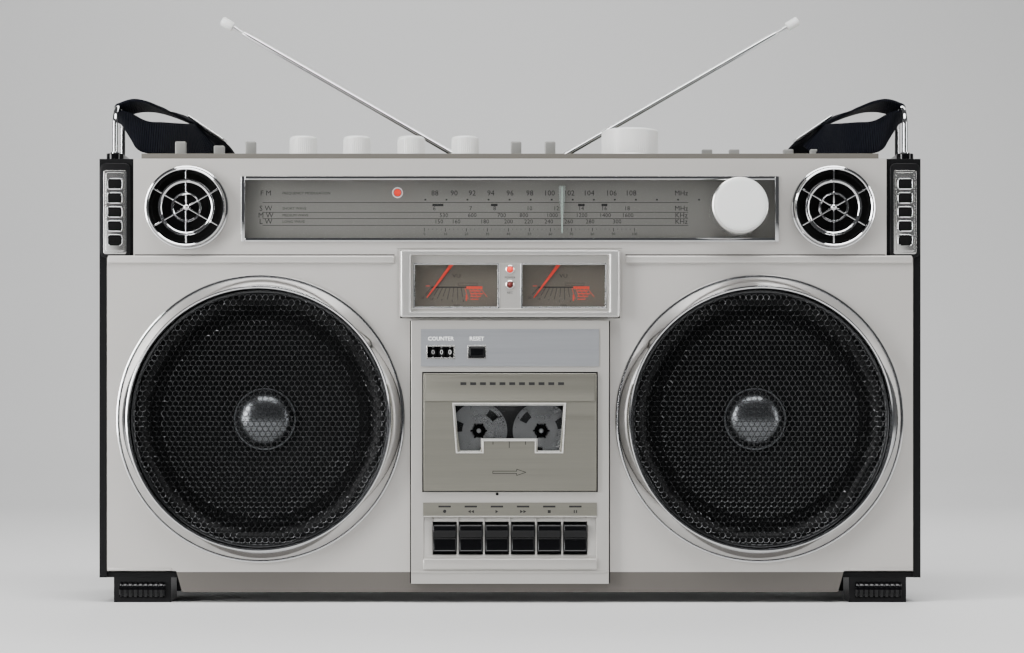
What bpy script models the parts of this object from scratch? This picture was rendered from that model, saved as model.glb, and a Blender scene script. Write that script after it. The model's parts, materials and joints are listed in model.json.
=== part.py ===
"""Portable stereo radio-cassette recorder, built as separate parts that fit and move together.

Metres, +Z up, front facing -Y, origin at the bottom centre of the whole object. Depths are counted
back from FACE, the plane of the silver front panel's face, so FACE + 0.010 is 10 mm inside.
"""

from math import cos, pi, radians, sin

import bmesh
import bpy
from mathutils import Matrix, Vector

# ---- Cabinet and clearances ----
WIDTH = 0.559
CABINET_TOP = 0.302
DEPTH = 0.145
GAP = 0.0003
RUN_GAP = 0.0006
SIDE_WALL = 0.005
SHELL_WALL = 0.0035
RIM_SETBACK = 0.0015
FOOT_HEIGHT = 0.017
FOOT_WIDTH = 0.039
FOOT_LENGTH = 0.026
FOOT_INSET = 0.0095
COLUMN_WIDTH = 0.0232
UPPER_HEIGHT = 0.0662

# ---- Silver front panel ----
PANEL_THICK = 0.003
PANEL_BOTTOM = 0.0216
APRON_BOTTOM = 0.0073
APRON_HALF_TOP = 0.227
APRON_HALF_BOTTOM = 0.223

# ---- Centre module, level meters and dial ----
MODULE_HALF = 0.067
MODULE_BOTTOM = 0.0133
MODULE_PROUD = 0.006
BEZEL_HALF = 0.0744
BEZEL_HEIGHT = 0.0453
BEZEL_DROP = 0.0629
BEZEL_PROUD = 0.0085
BEZEL_POCKET = 0.011
METER_CENTRE = 0.0364
METER_HALF = 0.0289
METER_SILL = 0.0062
NEEDLE_PIVOT_DROP = 0.0049
NEEDLE_LENGTH = 0.0337
NEEDLE_HUB = 0.0024
NEEDLE_REST = radians(37)
DIAL_HALF = 0.181
DIAL_HEIGHT = 0.041
DIAL_DROP = 0.0138
DIAL_RECESS = 0.0075
POINTER_REST = 0.0355
TUNING_X = 0.1545
TUNING_RADIUS = 0.019
TUNING_PROUD = 0.027
TUNING_SHAFT = 0.0035

# ---- Loudspeakers ----
WOOFER_Z = 0.125
WOOFER_RING = 0.098
WOOFER_MOUTH = 0.0895
WOOFER_RING_PROUD = 0.0135
TWEETER_INSET = 0.0366
TWEETER_DROP = 0.0336
TWEETER_RING = 0.0285
TWEETER_BODY = 0.0235
TWEETER_PROUD = 0.008

# ---- Cassette deck ----
DOOR_HALF = 0.0585
DOOR_BOTTOM = 0.0762
DOOR_TOP = 0.1558
DOOR_PROUD = 0.0085
DOOR_THICK = 0.0032
CASSETTE_WIDTH = 0.1004
CASSETTE_HEIGHT = 0.0638
CASSETTE_THICK = 0.012
CASSETTE_BOTTOM = 0.0823
CASSETTE_FRONT = -0.003
HUB_SPACING = 0.0425
HUB_HEIGHT = 0.0346
REEL_RADIUS = 0.0194
HUB_BORE = 0.0048
SPINDLE_RADIUS = 0.0038
SPINDLE_TIP = 0.0022
SHELL_BORE_PLAY = 0.002
CHASSIS_DEPTH = 0.017
RESET_LEFT = -0.0280
RESET_RIGHT = -0.0167
KEY_COUNT = 6
KEY_PITCH = 0.0177
KEY_WIDTH = 0.0156
KEY_BOTTOM = 0.0352
KEY_TOP = 0.0534
KEY_PROUD = 0.009
KEY_INSIDE = 0.010
WELL_BOTTOM = 0.0305
WELL_TOP = 0.0585

# ---- Top deck and its controls ----
DECK_INSET = 0.005
DECK_THICK = 0.0034
DECK_FRONT = 0.002
DECK_BACK_LEDGE = 0.045
DECK_LEDGE = 0.004
SMALL_KNOB_RADIUS = 0.0097
SMALL_KNOB_HEIGHT = 0.017
SMALL_KNOB_DEPTH = 0.045
VOLUME_X = 0.0843
VOLUME_RADIUS = 0.02035
VOLUME_HEIGHT = 0.022
VOLUME_DEPTH = 0.050
KNOB_SHAFT = 0.003
LEVER_WIDTH = 0.0074
LEVER_LENGTH = 0.005
LEVER_HEIGHT = 0.0115
LEVER_TRAVEL = 0.003
BUTTON_X = -0.240
BUTTON_DEPTH = 0.048
BUTTON_RADIUS = 0.0045
BUTTON_HEIGHT = 0.003

# ---- Antennas and strap ----
ANTENNA_X = 0.028
ANTENNA_FROM_BACK = 0.025
ANTENNA_LENGTH = 0.2118
ANTENNA_TILT = radians(30)
ANTENNA_BASE_RADIUS = 0.0075
ANTENNA_PIVOT_RISE = 0.010
TUBE_RADIUS = 0.002
TUBE_BORE = 0.0014
ROD_RADIUS = 0.001
CAP_RADIUS = 0.0035
CAP_LENGTH = 0.0093
POST_INSET = 0.007
POST_DEPTH = 0.037
POST_SPAN = 0.030
POST_HEIGHT = 0.0416
POST_ROD = 0.0019
POST_BASE_HEIGHT = 0.0055
STRAP_WIDTH = 0.025
STRAP_THICK = 0.003
STRAP_STANDOFF = 0.006
STRAP_DROP = 0.165

# ---- Battery bay and mains inlet, in the cabinet's back ----
BAY_HALF = 0.105
BAY_BOTTOM = 0.036
BAY_TOP = 0.094
BAY_DEPTH = 0.062
COVER_THICK = 0.0032
INLET_X = 0.213
INLET_Z = 0.050
INLET_HALF_WIDTH = 0.013
INLET_HALF_HEIGHT = 0.010
INLET_DEPTH = 0.012

# ---- Small parts of the tape deck, meters and dial ----
REACH = 0.01
OVERLAP = 0.001
BEZEL_CLEARANCE = 0.002
BEZEL_BACK = 0.009
BEZEL_FRAME = 0.0073
BEZEL_FACE_DEPTH = 0.004
NEEDLE_STANDOFF = 0.0025
NEEDLE_THICK = 0.0008
NEEDLE_HALF_WIDTH = 0.0003
DIAL_RIM = 0.003
DIAL_FLOOR_THICK = 0.0015
WINDOW_FRONT = 0.0006
WINDOW_BACK = 0.0021
POINTER_DEPTH = 0.0048
POINTER_THICK = 0.0016
POINTER_HALF_TOP = 0.0023
POINTER_HALF_TIP = 0.0008
MODULE_SKIN = 0.003
COUNTER_LEFT = -0.0559
COUNTER_RIGHT = -0.0379
COUNTER_X = -0.0408
COUNTER_RADIUS = 0.0068
COUNTER_WIDTH = 0.0048
RESET_PROUD = 0.002
RESET_INSIDE = 0.011
DOOR_WINDOW = [
    (-0.0337, 0.1026),
    (-0.0200, 0.1026),
    (-0.0188, 0.1108),
    (0.0178, 0.1108),
    (0.0190, 0.1026),
    (0.0335, 0.1026),
    (0.0371, 0.1348),
    (-0.0382, 0.1348),
]
HINGE_RISE = 0.0015
REEL_ROOM = 0.0012
REEL_FACE = 0.0012
REEL_DISC = 0.001
REEL_HUB = 0.0108
SHELL_BACK_WALL = 0.003
SPINDLE_FLANGE = 0.009
SPINDLE_FLANGE_THICK = 0.003
CHASSIS_HALF = 0.062
CHASSIS_BOTTOM = 0.027
CHASSIS_TOP = 0.160
CHASSIS_THICK = 0.0016
MOTOR_PLACE = (0.030, 0.056)
MOTOR_RADIUS = 0.015
MOTOR_LENGTH = 0.028
HEAD_HALF = 0.008
HEAD_BOTTOM = 0.070
HEAD_TOP = 0.081
POST_FOOT_END = 0.0058

# ---- Places that follow from the sizes ----
HALF = WIDTH / 2
FACE = TUNING_PROUD - (TUNING_PROUD + DEPTH + STRAP_STANDOFF) / 2
BACK = FACE + DEPTH
PANEL_HALF = HALF - SIDE_WALL - GAP - 0.0002
UPPER_HALF = HALF - COLUMN_WIDTH - GAP
PANEL_SHOULDER = CABINET_TOP - UPPER_HEIGHT
BEZEL_TOP = CABINET_TOP - BEZEL_DROP
BEZEL_BOTTOM = BEZEL_TOP - BEZEL_HEIGHT
MODULE_TOP = BEZEL_BOTTOM - 0.0018
METER_BOTTOM = BEZEL_BOTTOM + METER_SILL
NEEDLE_PIVOT = BEZEL_TOP - NEEDLE_PIVOT_DROP
DIAL_TOP = CABINET_TOP - DIAL_DROP
DIAL_BOTTOM = DIAL_TOP - DIAL_HEIGHT
WOOFER_X = (PANEL_HALF + MODULE_HALF) / 2 - 0.001
TWEETER_X = UPPER_HALF - TWEETER_INSET
TWEETER_Z = CABINET_TOP - TWEETER_DROP
DECK_HALF = UPPER_HALF - DECK_INSET
DECK_BACK = DEPTH - DECK_BACK_LEDGE
ANTENNA_DEPTH = DEPTH - ANTENNA_FROM_BACK
POST_X = HALF - POST_INSET
COUNTER_BOTTOM = MODULE_TOP - 0.0256
COUNTER_TOP = MODULE_TOP - 0.0181
DECK_BASE = CABINET_TOP + GAP
DECK_TOP = DECK_BASE + DECK_THICK
LEVERS = (
    ("lever_light", -0.2283, 0.030),
    ("lever_loudness", -0.2045, 0.052),
    ("lever_wide", -0.1797, 0.030),
    ("lever_function", 0.0042, 0.030),
    ("lever_mode", 0.0278, 0.030),
    ("lever_band_1", 0.1403, 0.072),
    ("lever_band_2", 0.1596, 0.072),
    ("lever_band_3", 0.1982, 0.072),
    ("lever_band_4", 0.2173, 0.072),
    ("lever_beat_cancel", 0.2364, 0.072),
)
SMALL_KNOBS = (
    ("knob_balance", -0.1447),
    ("knob_bass", -0.1071),
    ("knob_treble", -0.0691),
    ("knob_mic_mix", -0.0313),
)
KEY_NAMES = ("key_record", "key_rewind", "key_play", "key_forward", "key_stop", "key_pause")

# ---- Finishes: colour, roughness, metallic ----
SILVER = ("silver_plastic", (0.58, 0.56, 0.54), 0.38, 0.7)
BRIGHT = ("bright_metal", (0.80, 0.80, 0.80), 0.15, 1.0)
BLACK = ("black_plastic", (0.012, 0.012, 0.014), 0.45, 0.0)
GLOSS_BLACK = ("gloss_black", (0.008, 0.008, 0.009), 0.12, 0.0)
DECK_GREY = ("deck_grey", (0.24, 0.23, 0.21), 0.45, 0.5)
WHITE = ("white_plastic", (0.86, 0.86, 0.85), 0.35, 0.0)
BRUSHED = ("brushed_aluminium", (0.32, 0.31, 0.26), 0.35, 0.9)
DIAL_PAINT = ("dial_paint", (0.20, 0.19, 0.175), 0.5, 0.2)
CLEAR = ("clear_plastic", (0.85, 0.88, 0.88), 0.08, 0.0)
NEEDLE_RED = ("needle_red", (0.75, 0.03, 0.02), 0.4, 0.0)
CONE_GREY = ("cone_paper", (0.03, 0.03, 0.032), 0.6, 0.0)
STEEL = ("zinc_steel", (0.42, 0.42, 0.42), 0.35, 1.0)
WEBBING = ("navy_webbing", (0.012, 0.018, 0.035), 0.85, 0.0)

UPRIGHT = (0.0, 0.0, 0.0)
FACING_FRONT = (pi / 2, 0.0, 0.0)
ALONG_X = (0.0, pi / 2, 0.0)


def clear_scene():
    for old in list(bpy.data.objects):
        bpy.data.objects.remove(old, do_unlink=True)


def new_collection(name, for_helpers=False):
    made = bpy.data.collections.new(name)
    bpy.context.scene.collection.children.link(made)
    made.hide_render = for_helpers
    return made


clear_scene()
PARTS = new_collection("radio_cassette_recorder")
CUTTERS = new_collection("cutters", for_helpers=True)


def finish_material(name, look):
    """The part's own Principled material."""
    label, colour, roughness, metallic = look
    material = bpy.data.materials.new(f"{name}_{label}")
    material.use_nodes = True
    shader = material.node_tree.nodes["Principled BSDF"]
    shader.inputs["Base Color"].default_value = (*colour, 1.0)
    shader.inputs["Roughness"].default_value = roughness
    shader.inputs["Metallic"].default_value = metallic
    return material


def place(obj, origin, turn, look):
    """Puts an object in the parts, or among the cutters when it has no finish."""
    obj.location = origin
    obj.rotation_euler = turn
    if look is None:
        CUTTERS.objects.link(obj)
        obj.hide_render = True
        obj.display_type = "WIRE"
    else:
        PARTS.objects.link(obj)
        obj.data.materials.append(finish_material(obj.name, look))
    return obj


def block(name, low, high, look=None, origin=None):
    """A box between two corners."""
    low = Vector(low)
    high = Vector(high)
    middle = (low + high) / 2
    origin = middle if origin is None else Vector(origin)
    shape = bmesh.new()
    scale = Matrix.Diagonal((*(high - low), 1.0))
    bmesh.ops.create_cube(shape, size=1.0, matrix=Matrix.Translation(middle - origin) @ scale)
    mesh = bpy.data.meshes.new(name)
    shape.to_mesh(mesh)
    shape.free()
    return place(bpy.data.objects.new(name, mesh), origin, UPRIGHT, look)


def rod(name, centre, radius, length, turn=UPRIGHT, look=None, sides=32):
    """A plain cylinder about its own Z, centred on a point."""
    shape = bmesh.new()
    bmesh.ops.create_cone(
        shape, cap_ends=True, segments=sides, radius1=radius, radius2=radius, depth=length
    )
    mesh = bpy.data.meshes.new(name)
    shape.to_mesh(mesh)
    shape.free()
    return place(bpy.data.objects.new(name, mesh), centre, turn, look)


def turned(name, profile, origin, turn, look, steps=40, closed=False):
    """A solid of revolution from (radius, height) points that run down its outer side."""
    mesh = bpy.data.meshes.new(name)
    shape = bmesh.new()
    points = [shape.verts.new((radius, 0.0, height)) for radius, height in profile]
    for first, second in zip(points, points[1:]):
        shape.edges.new((first, second))
    if closed:
        shape.edges.new((points[-1], points[0]))
    shape.to_mesh(mesh)
    shape.free()
    obj = place(bpy.data.objects.new(name, mesh), origin, turn, look)
    spin = obj.modifiers.new("Turn", "SCREW")
    spin.steps = steps
    spin.render_steps = steps
    spin.use_merge_vertices = True
    spin.merge_threshold = 0.00001
    spin.use_smooth_shade = True
    return obj


def ring_points(x, y, radius, count):
    """Evenly spaced points round a circle."""
    angles = (2 * pi * i / count for i in range(count))
    return [(x + radius * cos(a), y + radius * sin(a)) for a in angles]


def rectangle(x_low, y_low, x_high, y_high):
    return [(x_low, y_low), (x_high, y_low), (x_high, y_high), (x_low, y_high)]


def plate(name, loops, thickness, origin, turn, look):
    """A flat plate from an outline and its holes, drawn in its own XY plane about the origin."""
    curve = bpy.data.curves.new(name, "CURVE")
    curve.dimensions = "2D"
    curve.fill_mode = "BOTH"
    curve.extrude = thickness / 2
    for loop in loops:
        spline = curve.splines.new("POLY")
        spline.points.add(len(loop) - 1)
        for point, (x, y) in zip(spline.points, loop):
            point.co = (x, y, 0.0, 1.0)
        spline.use_cyclic_u = True
    return place(bpy.data.objects.new(name, curve), origin, turn, look)


def front_plate(name, loops, front, back, look=None):
    """A plate standing in the XZ plane between two depths, its outline in world X and Z."""
    origin = (0.0, (front + back) / 2, 0.0)
    return plate(name, loops, back - front, origin, FACING_FRONT, look)


def as_mesh(obj):
    """The object as a welded mesh, so that it can be cut and joined."""
    bpy.context.view_layer.update()
    evaluated = obj.evaluated_get(bpy.context.evaluated_depsgraph_get())
    mesh = bpy.data.meshes.new_from_object(evaluated)
    shape = bmesh.new()
    shape.from_mesh(mesh)
    bmesh.ops.remove_doubles(shape, verts=shape.verts, dist=0.000001)
    bmesh.ops.recalc_face_normals(shape, faces=shape.faces)
    shape.to_mesh(mesh)
    shape.free()
    name = obj.name
    solid = bpy.data.objects.new(name + "_mesh", mesh)
    solid.matrix_world = obj.matrix_world
    for holder in obj.users_collection:
        holder.objects.link(solid)
    solid.hide_render = obj.hide_render
    solid.display_type = obj.display_type
    bpy.data.objects.remove(obj, do_unlink=True)
    solid.name = name
    return solid


def combine(obj, operation, others):
    for other in others:
        change = obj.modifiers.new(other.name, "BOOLEAN")
        change.operation = operation
        change.solver = "EXACT"
        change.object = other
    return obj


def cut(obj, *cutters):
    return combine(obj, "DIFFERENCE", cutters)


def join(obj, *helpers):
    return combine(obj, "UNION", helpers)


def build_front_panel():
    """Silver moulding: lower panel, narrower upper panel and the apron between the feet."""
    outline = [
        (-PANEL_HALF, PANEL_BOTTOM),
        (-APRON_HALF_TOP, PANEL_BOTTOM),
        (-APRON_HALF_BOTTOM, APRON_BOTTOM),
        (APRON_HALF_BOTTOM, APRON_BOTTOM),
        (APRON_HALF_TOP, PANEL_BOTTOM),
        (PANEL_HALF, PANEL_BOTTOM),
        (PANEL_HALF, PANEL_SHOULDER),
        (UPPER_HALF, PANEL_SHOULDER),
        (UPPER_HALF, CABINET_TOP),
        (-UPPER_HALF, CABINET_TOP),
        (-UPPER_HALF, PANEL_SHOULDER),
        (-PANEL_HALF, PANEL_SHOULDER),
    ]
    module = MODULE_HALF + GAP
    bezel = BEZEL_HALF + BEZEL_CLEARANCE
    centre_hole = [
        (-module, MODULE_BOTTOM - GAP),
        (module, MODULE_BOTTOM - GAP),
        (module, MODULE_TOP),
        (bezel, MODULE_TOP),
        (bezel, BEZEL_TOP + BEZEL_CLEARANCE),
        (-bezel, BEZEL_TOP + BEZEL_CLEARANCE),
        (-bezel, MODULE_TOP),
        (-module, MODULE_TOP),
    ]
    holes = [centre_hole, rectangle(-DIAL_HALF, DIAL_BOTTOM, DIAL_HALF, DIAL_TOP)]
    for side in (-1, 1):
        holes.append(ring_points(side * WOOFER_X, WOOFER_Z, WOOFER_MOUTH + GAP, 56))
        holes.append(ring_points(side * TWEETER_X, TWEETER_Z, TWEETER_BODY + GAP, 32))
    front_plate("front_panel", [outline, *holes], FACE, FACE + PANEL_THICK, SILVER)


def build_cabinet():
    """Black rear shell with feet, end columns, battery bay and mains inlet moulded in."""
    front = FACE + RIM_SETBACK
    behind_panel = FACE + PANEL_THICK + GAP
    cabinet = block("rear_cabinet", (-HALF, front, FOOT_HEIGHT), (HALF, BACK, CABINET_TOP), BLACK)
    reach = REACH
    top = CABINET_TOP - SHELL_WALL
    inner = HALF - SIDE_WALL
    hollow = block(
        "cabinet_hollow",
        (-inner, front - reach, FOOT_HEIGHT + SHELL_WALL),
        (inner, BACK - SHELL_WALL, top),
    )
    seat = block(
        "panel_seat", (-inner, front - reach, FOOT_HEIGHT - reach), (inner, behind_panel, top)
    )
    upper_seat = block(
        "upper_seat",
        (-UPPER_HALF - GAP, front - reach, PANEL_SHOULDER),
        (UPPER_HALF + GAP, behind_panel, CABINET_TOP + reach),
    )
    deck_hole = block(
        "deck_hole",
        (-DECK_HALF + DECK_LEDGE, FACE + reach, top - reach),
        (DECK_HALF - DECK_LEDGE, FACE + DECK_BACK - DECK_LEDGE, CABINET_TOP + reach),
    )
    cut(cabinet, hollow, seat, upper_seat, deck_hole)
    helpers = []
    for side in (-1, 1):
        inner_x = side * (HALF - COLUMN_WIDTH)
        outer_x = side * (HALF - 0.0005)
        low_x, high_x = sorted((inner_x, outer_x))
        column = block(
            f"column_{side}",
            (low_x, front, PANEL_SHOULDER + GAP),
            (high_x, behind_panel + reach, CABINET_TOP - 0.0005),
        )
        helpers.append(column)
        foot_out = HALF - FOOT_INSET
        for end, y_low in (("front", front + 0.002), ("back", BACK - 0.008 - FOOT_LENGTH)):
            low_x, high_x = sorted((side * foot_out, side * (foot_out - FOOT_WIDTH)))
            foot = block(
                f"foot_{end}_{side}",
                (low_x, y_low, 0.0),
                (high_x, y_low + FOOT_LENGTH, FOOT_HEIGHT + 0.001),
            )
            helpers.append(foot)
    bay_wall = block(
        "bay_wall",
        (-BAY_HALF - SHELL_WALL, BACK - BAY_DEPTH - SHELL_WALL, BAY_BOTTOM - SHELL_WALL),
        (BAY_HALF + SHELL_WALL, BACK - 0.001, BAY_TOP + SHELL_WALL),
    )
    inlet_wall = block(
        "inlet_wall",
        (INLET_X - INLET_HALF_WIDTH - SHELL_WALL, BACK - INLET_DEPTH - SHELL_WALL,
         INLET_Z - INLET_HALF_HEIGHT - SHELL_WALL),
        (INLET_X + INLET_HALF_WIDTH + SHELL_WALL, BACK - 0.001,
         INLET_Z + INLET_HALF_HEIGHT + SHELL_WALL),
    )
    join(cabinet, *helpers, bay_wall, inlet_wall)
    lip = 0.004
    bay = block(
        "bay",
        (-BAY_HALF + lip, BACK - BAY_DEPTH, BAY_BOTTOM + lip),
        (BAY_HALF - lip, BACK + reach, BAY_TOP - lip),
    )
    cover_seat = block(
        "cover_seat",
        (-BAY_HALF, BACK - COVER_THICK - RUN_GAP, BAY_BOTTOM),
        (BAY_HALF, BACK + reach, BAY_TOP),
    )
    inlet = block(
        "inlet",
        (INLET_X - INLET_HALF_WIDTH, BACK - INLET_DEPTH, INLET_Z - INLET_HALF_HEIGHT),
        (INLET_X + INLET_HALF_WIDTH, BACK + reach, INLET_Z + INLET_HALF_HEIGHT),
    )
    cut(cabinet, bay, cover_seat, inlet)
    block(
        "battery_cover",
        (-BAY_HALF + RUN_GAP, BACK - COVER_THICK, BAY_BOTTOM + RUN_GAP),
        (BAY_HALF - RUN_GAP, BACK, BAY_TOP - RUN_GAP),
        BLACK,
        origin=(0.0, BACK - 0.0008, BAY_BOTTOM + 0.0015),
    )


def build_deck():
    """Top plate with a hole for each control, and the controls."""
    middle = (DECK_FRONT + DECK_BACK) / 2
    outline = rectangle(-DECK_HALF, DECK_FRONT - middle, DECK_HALF, DECK_BACK - middle)
    holes = []
    slot_half = LEVER_WIDTH / 2 + RUN_GAP
    slot_reach = LEVER_LENGTH / 2 + LEVER_TRAVEL + RUN_GAP
    for _, x, depth in LEVERS:
        y = depth - middle
        holes.append(rectangle(x - slot_half, y - slot_reach, x + slot_half, y + slot_reach))
    for _, x in SMALL_KNOBS:
        holes.append(ring_points(x, SMALL_KNOB_DEPTH - middle, KNOB_SHAFT + RUN_GAP, 16))
    holes.append(ring_points(VOLUME_X, VOLUME_DEPTH - middle, KNOB_SHAFT + RUN_GAP, 16))
    holes.append(ring_points(BUTTON_X, BUTTON_DEPTH - middle, BUTTON_RADIUS + RUN_GAP, 20))
    centre = (0.0, FACE + middle, DECK_BASE + DECK_THICK / 2)
    plate("top_panel", [outline, *holes], DECK_THICK, centre, UPRIGHT, DECK_GREY)

    for name, x in SMALL_KNOBS:
        build_knob(name, x, SMALL_KNOB_DEPTH, SMALL_KNOB_RADIUS, SMALL_KNOB_HEIGHT, 28)
    build_knob("knob_volume", VOLUME_X, VOLUME_DEPTH, VOLUME_RADIUS, VOLUME_HEIGHT, 44)
    for name, x, depth in LEVERS:
        y = FACE + depth
        half = LEVER_WIDTH / 2
        reach = LEVER_LENGTH / 2
        block(
            name,
            (x - half, y - reach, DECK_BASE - 0.004),
            (x + half, y + reach, DECK_TOP + LEVER_HEIGHT),
            DECK_GREY,
        )
    button = [
        (0.0, BUTTON_HEIGHT),
        (BUTTON_RADIUS * 0.8, BUTTON_HEIGHT - 0.0003),
        (BUTTON_RADIUS, BUTTON_HEIGHT - 0.0012),
        (BUTTON_RADIUS, -DECK_THICK - 0.003),
        (0.0, -DECK_THICK - 0.003),
    ]
    turned("button_battery_check", button, (BUTTON_X, FACE + BUTTON_DEPTH, DECK_TOP), UPRIGHT,
           BRIGHT, steps=24)


def build_knob(name, x, depth, radius, height, steps):
    """A round control knob on its shaft, standing on the deck."""
    chamfer = 0.0012
    profile = [
        (0.0, height),
        (radius - chamfer, height),
        (radius, height - chamfer),
        (radius, 0.001),
        (KNOB_SHAFT, 0.001),
        (KNOB_SHAFT, -DECK_THICK - 0.006),
        (0.0, -DECK_THICK - 0.006),
    ]
    turned(name, profile, (x, FACE + depth, DECK_TOP), UPRIGHT, WHITE, steps=steps)


def build_speakers():
    for side, word in ((-1, "left"), (1, "right")):
        centre = (side * WOOFER_X, FACE, WOOFER_Z)
        mouth = WOOFER_MOUTH - 0.0018
        ring = [
            (WOOFER_RING, 0.0022),
            (WOOFER_RING, GAP),
            (WOOFER_MOUTH, GAP),
            (WOOFER_MOUTH, -PANEL_THICK),
            (mouth, -PANEL_THICK),
            (mouth, WOOFER_RING_PROUD - 0.001),
            (mouth + 0.001, WOOFER_RING_PROUD),
            (mouth + 0.003, WOOFER_RING_PROUD - 0.0006),
        ]
        turned(f"woofer_ring_{word}", ring, centre, FACING_FRONT, BRIGHT, 56, closed=True)
        edge = mouth - GAP
        grille = [
            (0.0, 0.0060),
            (edge * 0.80, 0.0046),
            (edge - 0.002, 0.0100),
            (edge, 0.0100),
            (edge, 0.0085),
            (edge * 0.80, 0.0034),
            (0.0, 0.0048),
        ]
        turned(f"woofer_grille_{word}", grille, centre, FACING_FRONT, BLACK, 44)
        back = -PANEL_THICK - GAP
        driver = [
            (0.0, back - 0.016),
            (0.012, back - 0.019),
            (0.020, back - 0.028),
            (WOOFER_MOUTH * 0.72, back - 0.006),
            (WOOFER_MOUTH * 0.80, back - 0.001),
            (WOOFER_MOUTH * 0.90, back - 0.004),
            (WOOFER_MOUTH * 0.94, back),
            (WOOFER_MOUTH + 0.004, back),
            (WOOFER_MOUTH + 0.004, back - 0.003),
            (WOOFER_MOUTH * 0.85, back - 0.008),
            (0.040, back - 0.040),
            (0.040, back - 0.062),
            (0.0, back - 0.062),
        ]
        turned(f"woofer_driver_{word}", driver, centre, FACING_FRONT, CONE_GREY, 40)

        centre = (side * TWEETER_X, FACE, TWEETER_Z)
        horn = [
            (0.0, 0.006),
            (0.004, 0.004),
            (0.008, -0.006),
            (0.0175, -0.001),
            (TWEETER_BODY - 0.001, TWEETER_PROUD - 0.002),
            (TWEETER_BODY + 0.0015, TWEETER_PROUD),
            (TWEETER_RING, TWEETER_PROUD - 0.003),
            (TWEETER_RING, GAP),
            (TWEETER_BODY, GAP),
            (TWEETER_BODY, -0.014),
            (0.0, -0.014),
        ]
        turned(f"tweeter_{word}", horn, centre, FACING_FRONT, BRIGHT, 36)


def build_dial():
    back_of_panel = FACE + PANEL_THICK + GAP
    floor = FACE + DIAL_RECESS
    rim = DIAL_RIM
    scale = block(
        "dial_scale",
        (-DIAL_HALF - rim, back_of_panel, DIAL_BOTTOM - rim),
        (DIAL_HALF + rim, floor + DIAL_FLOOR_THICK, DIAL_TOP + rim),
        DIAL_PAINT,
    )
    tray = block(
        "dial_tray",
        (-DIAL_HALF, back_of_panel - REACH, DIAL_BOTTOM),
        (DIAL_HALF, floor, DIAL_TOP),
    )
    shaft_hole = rod(
        "tuning_hole",
        (TUNING_X, floor, TWEETER_Z),
        TUNING_SHAFT + RUN_GAP,
        0.02,
        FACING_FRONT,
        sides=20,
    )
    cut(scale, tray, shaft_hole)
    pane = rectangle(
        -DIAL_HALF + GAP, DIAL_BOTTOM + GAP, DIAL_HALF - GAP, DIAL_TOP - GAP
    )
    hole = ring_points(TUNING_X, TWEETER_Z, TUNING_SHAFT + RUN_GAP, 20)
    front_plate("dial_window", [pane, hole], FACE + WINDOW_FRONT, FACE + WINDOW_BACK, CLEAR)

    middle = (DIAL_BOTTOM + DIAL_TOP) / 2
    reach = (DIAL_TOP - DIAL_BOTTOM) / 2 - 0.004
    needle = [
        (-POINTER_HALF_TIP, -reach),
        (POINTER_HALF_TIP, -reach),
        (POINTER_HALF_TOP, reach),
        (-POINTER_HALF_TOP, reach),
    ]
    centre = (POINTER_REST, FACE + POINTER_DEPTH, middle)
    plate("dial_pointer", [needle], POINTER_THICK, centre, FACING_FRONT, CLEAR)

    knob = [
        (0.0, TUNING_PROUD),
        (TUNING_RADIUS - 0.002, TUNING_PROUD),
        (TUNING_RADIUS - 0.0008, TUNING_PROUD - 0.0012),
        (TUNING_RADIUS - 0.0008, 0.004),
        (TUNING_RADIUS, 0.003),
        (TUNING_RADIUS, 0.001),
        (TUNING_SHAFT, 0.001),
        (TUNING_SHAFT, -DIAL_RECESS - 0.006),
        (0.0, -DIAL_RECESS - 0.006),
    ]
    turned("tuning_knob", knob, (TUNING_X, FACE, TWEETER_Z), FACING_FRONT, WHITE, 44)


def build_meters():
    """Bezel with a pocket for each meter, and a needle that hangs from its pivot."""
    bezel = block(
        "meter_bezel",
        (-BEZEL_HALF, FACE - BEZEL_PROUD, BEZEL_BOTTOM),
        (BEZEL_HALF, FACE + BEZEL_BACK, BEZEL_TOP),
        BRIGHT,
    )
    frame = BEZEL_FRAME
    front = FACE - BEZEL_PROUD
    face_recess = block(
        "bezel_recess",
        (-BEZEL_HALF + frame, front - REACH, BEZEL_BOTTOM + frame * 0.5),
        (BEZEL_HALF - frame, front + BEZEL_FACE_DEPTH, BEZEL_TOP - frame * 0.4),
    )
    pockets = []
    floor = front + BEZEL_POCKET
    for side, word in ((-1, "left"), (1, "right")):
        x = side * METER_CENTRE
        pocket = block(
            f"meter_pocket_{word}",
            (x - METER_HALF, front - REACH, METER_BOTTOM),
            (x + METER_HALF, floor, NEEDLE_PIVOT + NEEDLE_HUB + RUN_GAP),
        )
        pockets.append(pocket)
        arc = [
            (NEEDLE_HUB * cos(a), NEEDLE_HUB * sin(a))
            for a in (radians(-60 + i * 30) for i in range(11))
        ]
        needle = [*arc, (-NEEDLE_HALF_WIDTH, -NEEDLE_LENGTH), (NEEDLE_HALF_WIDTH, -NEEDLE_LENGTH)]
        pivot = (x, floor - NEEDLE_STANDOFF, NEEDLE_PIVOT)
        hanging = (pi / 2, NEEDLE_REST, 0.0)
        plate(f"meter_needle_{word}", [needle], NEEDLE_THICK, pivot, hanging, NEEDLE_RED)
    cut(bezel, face_recess, *pockets)


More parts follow.
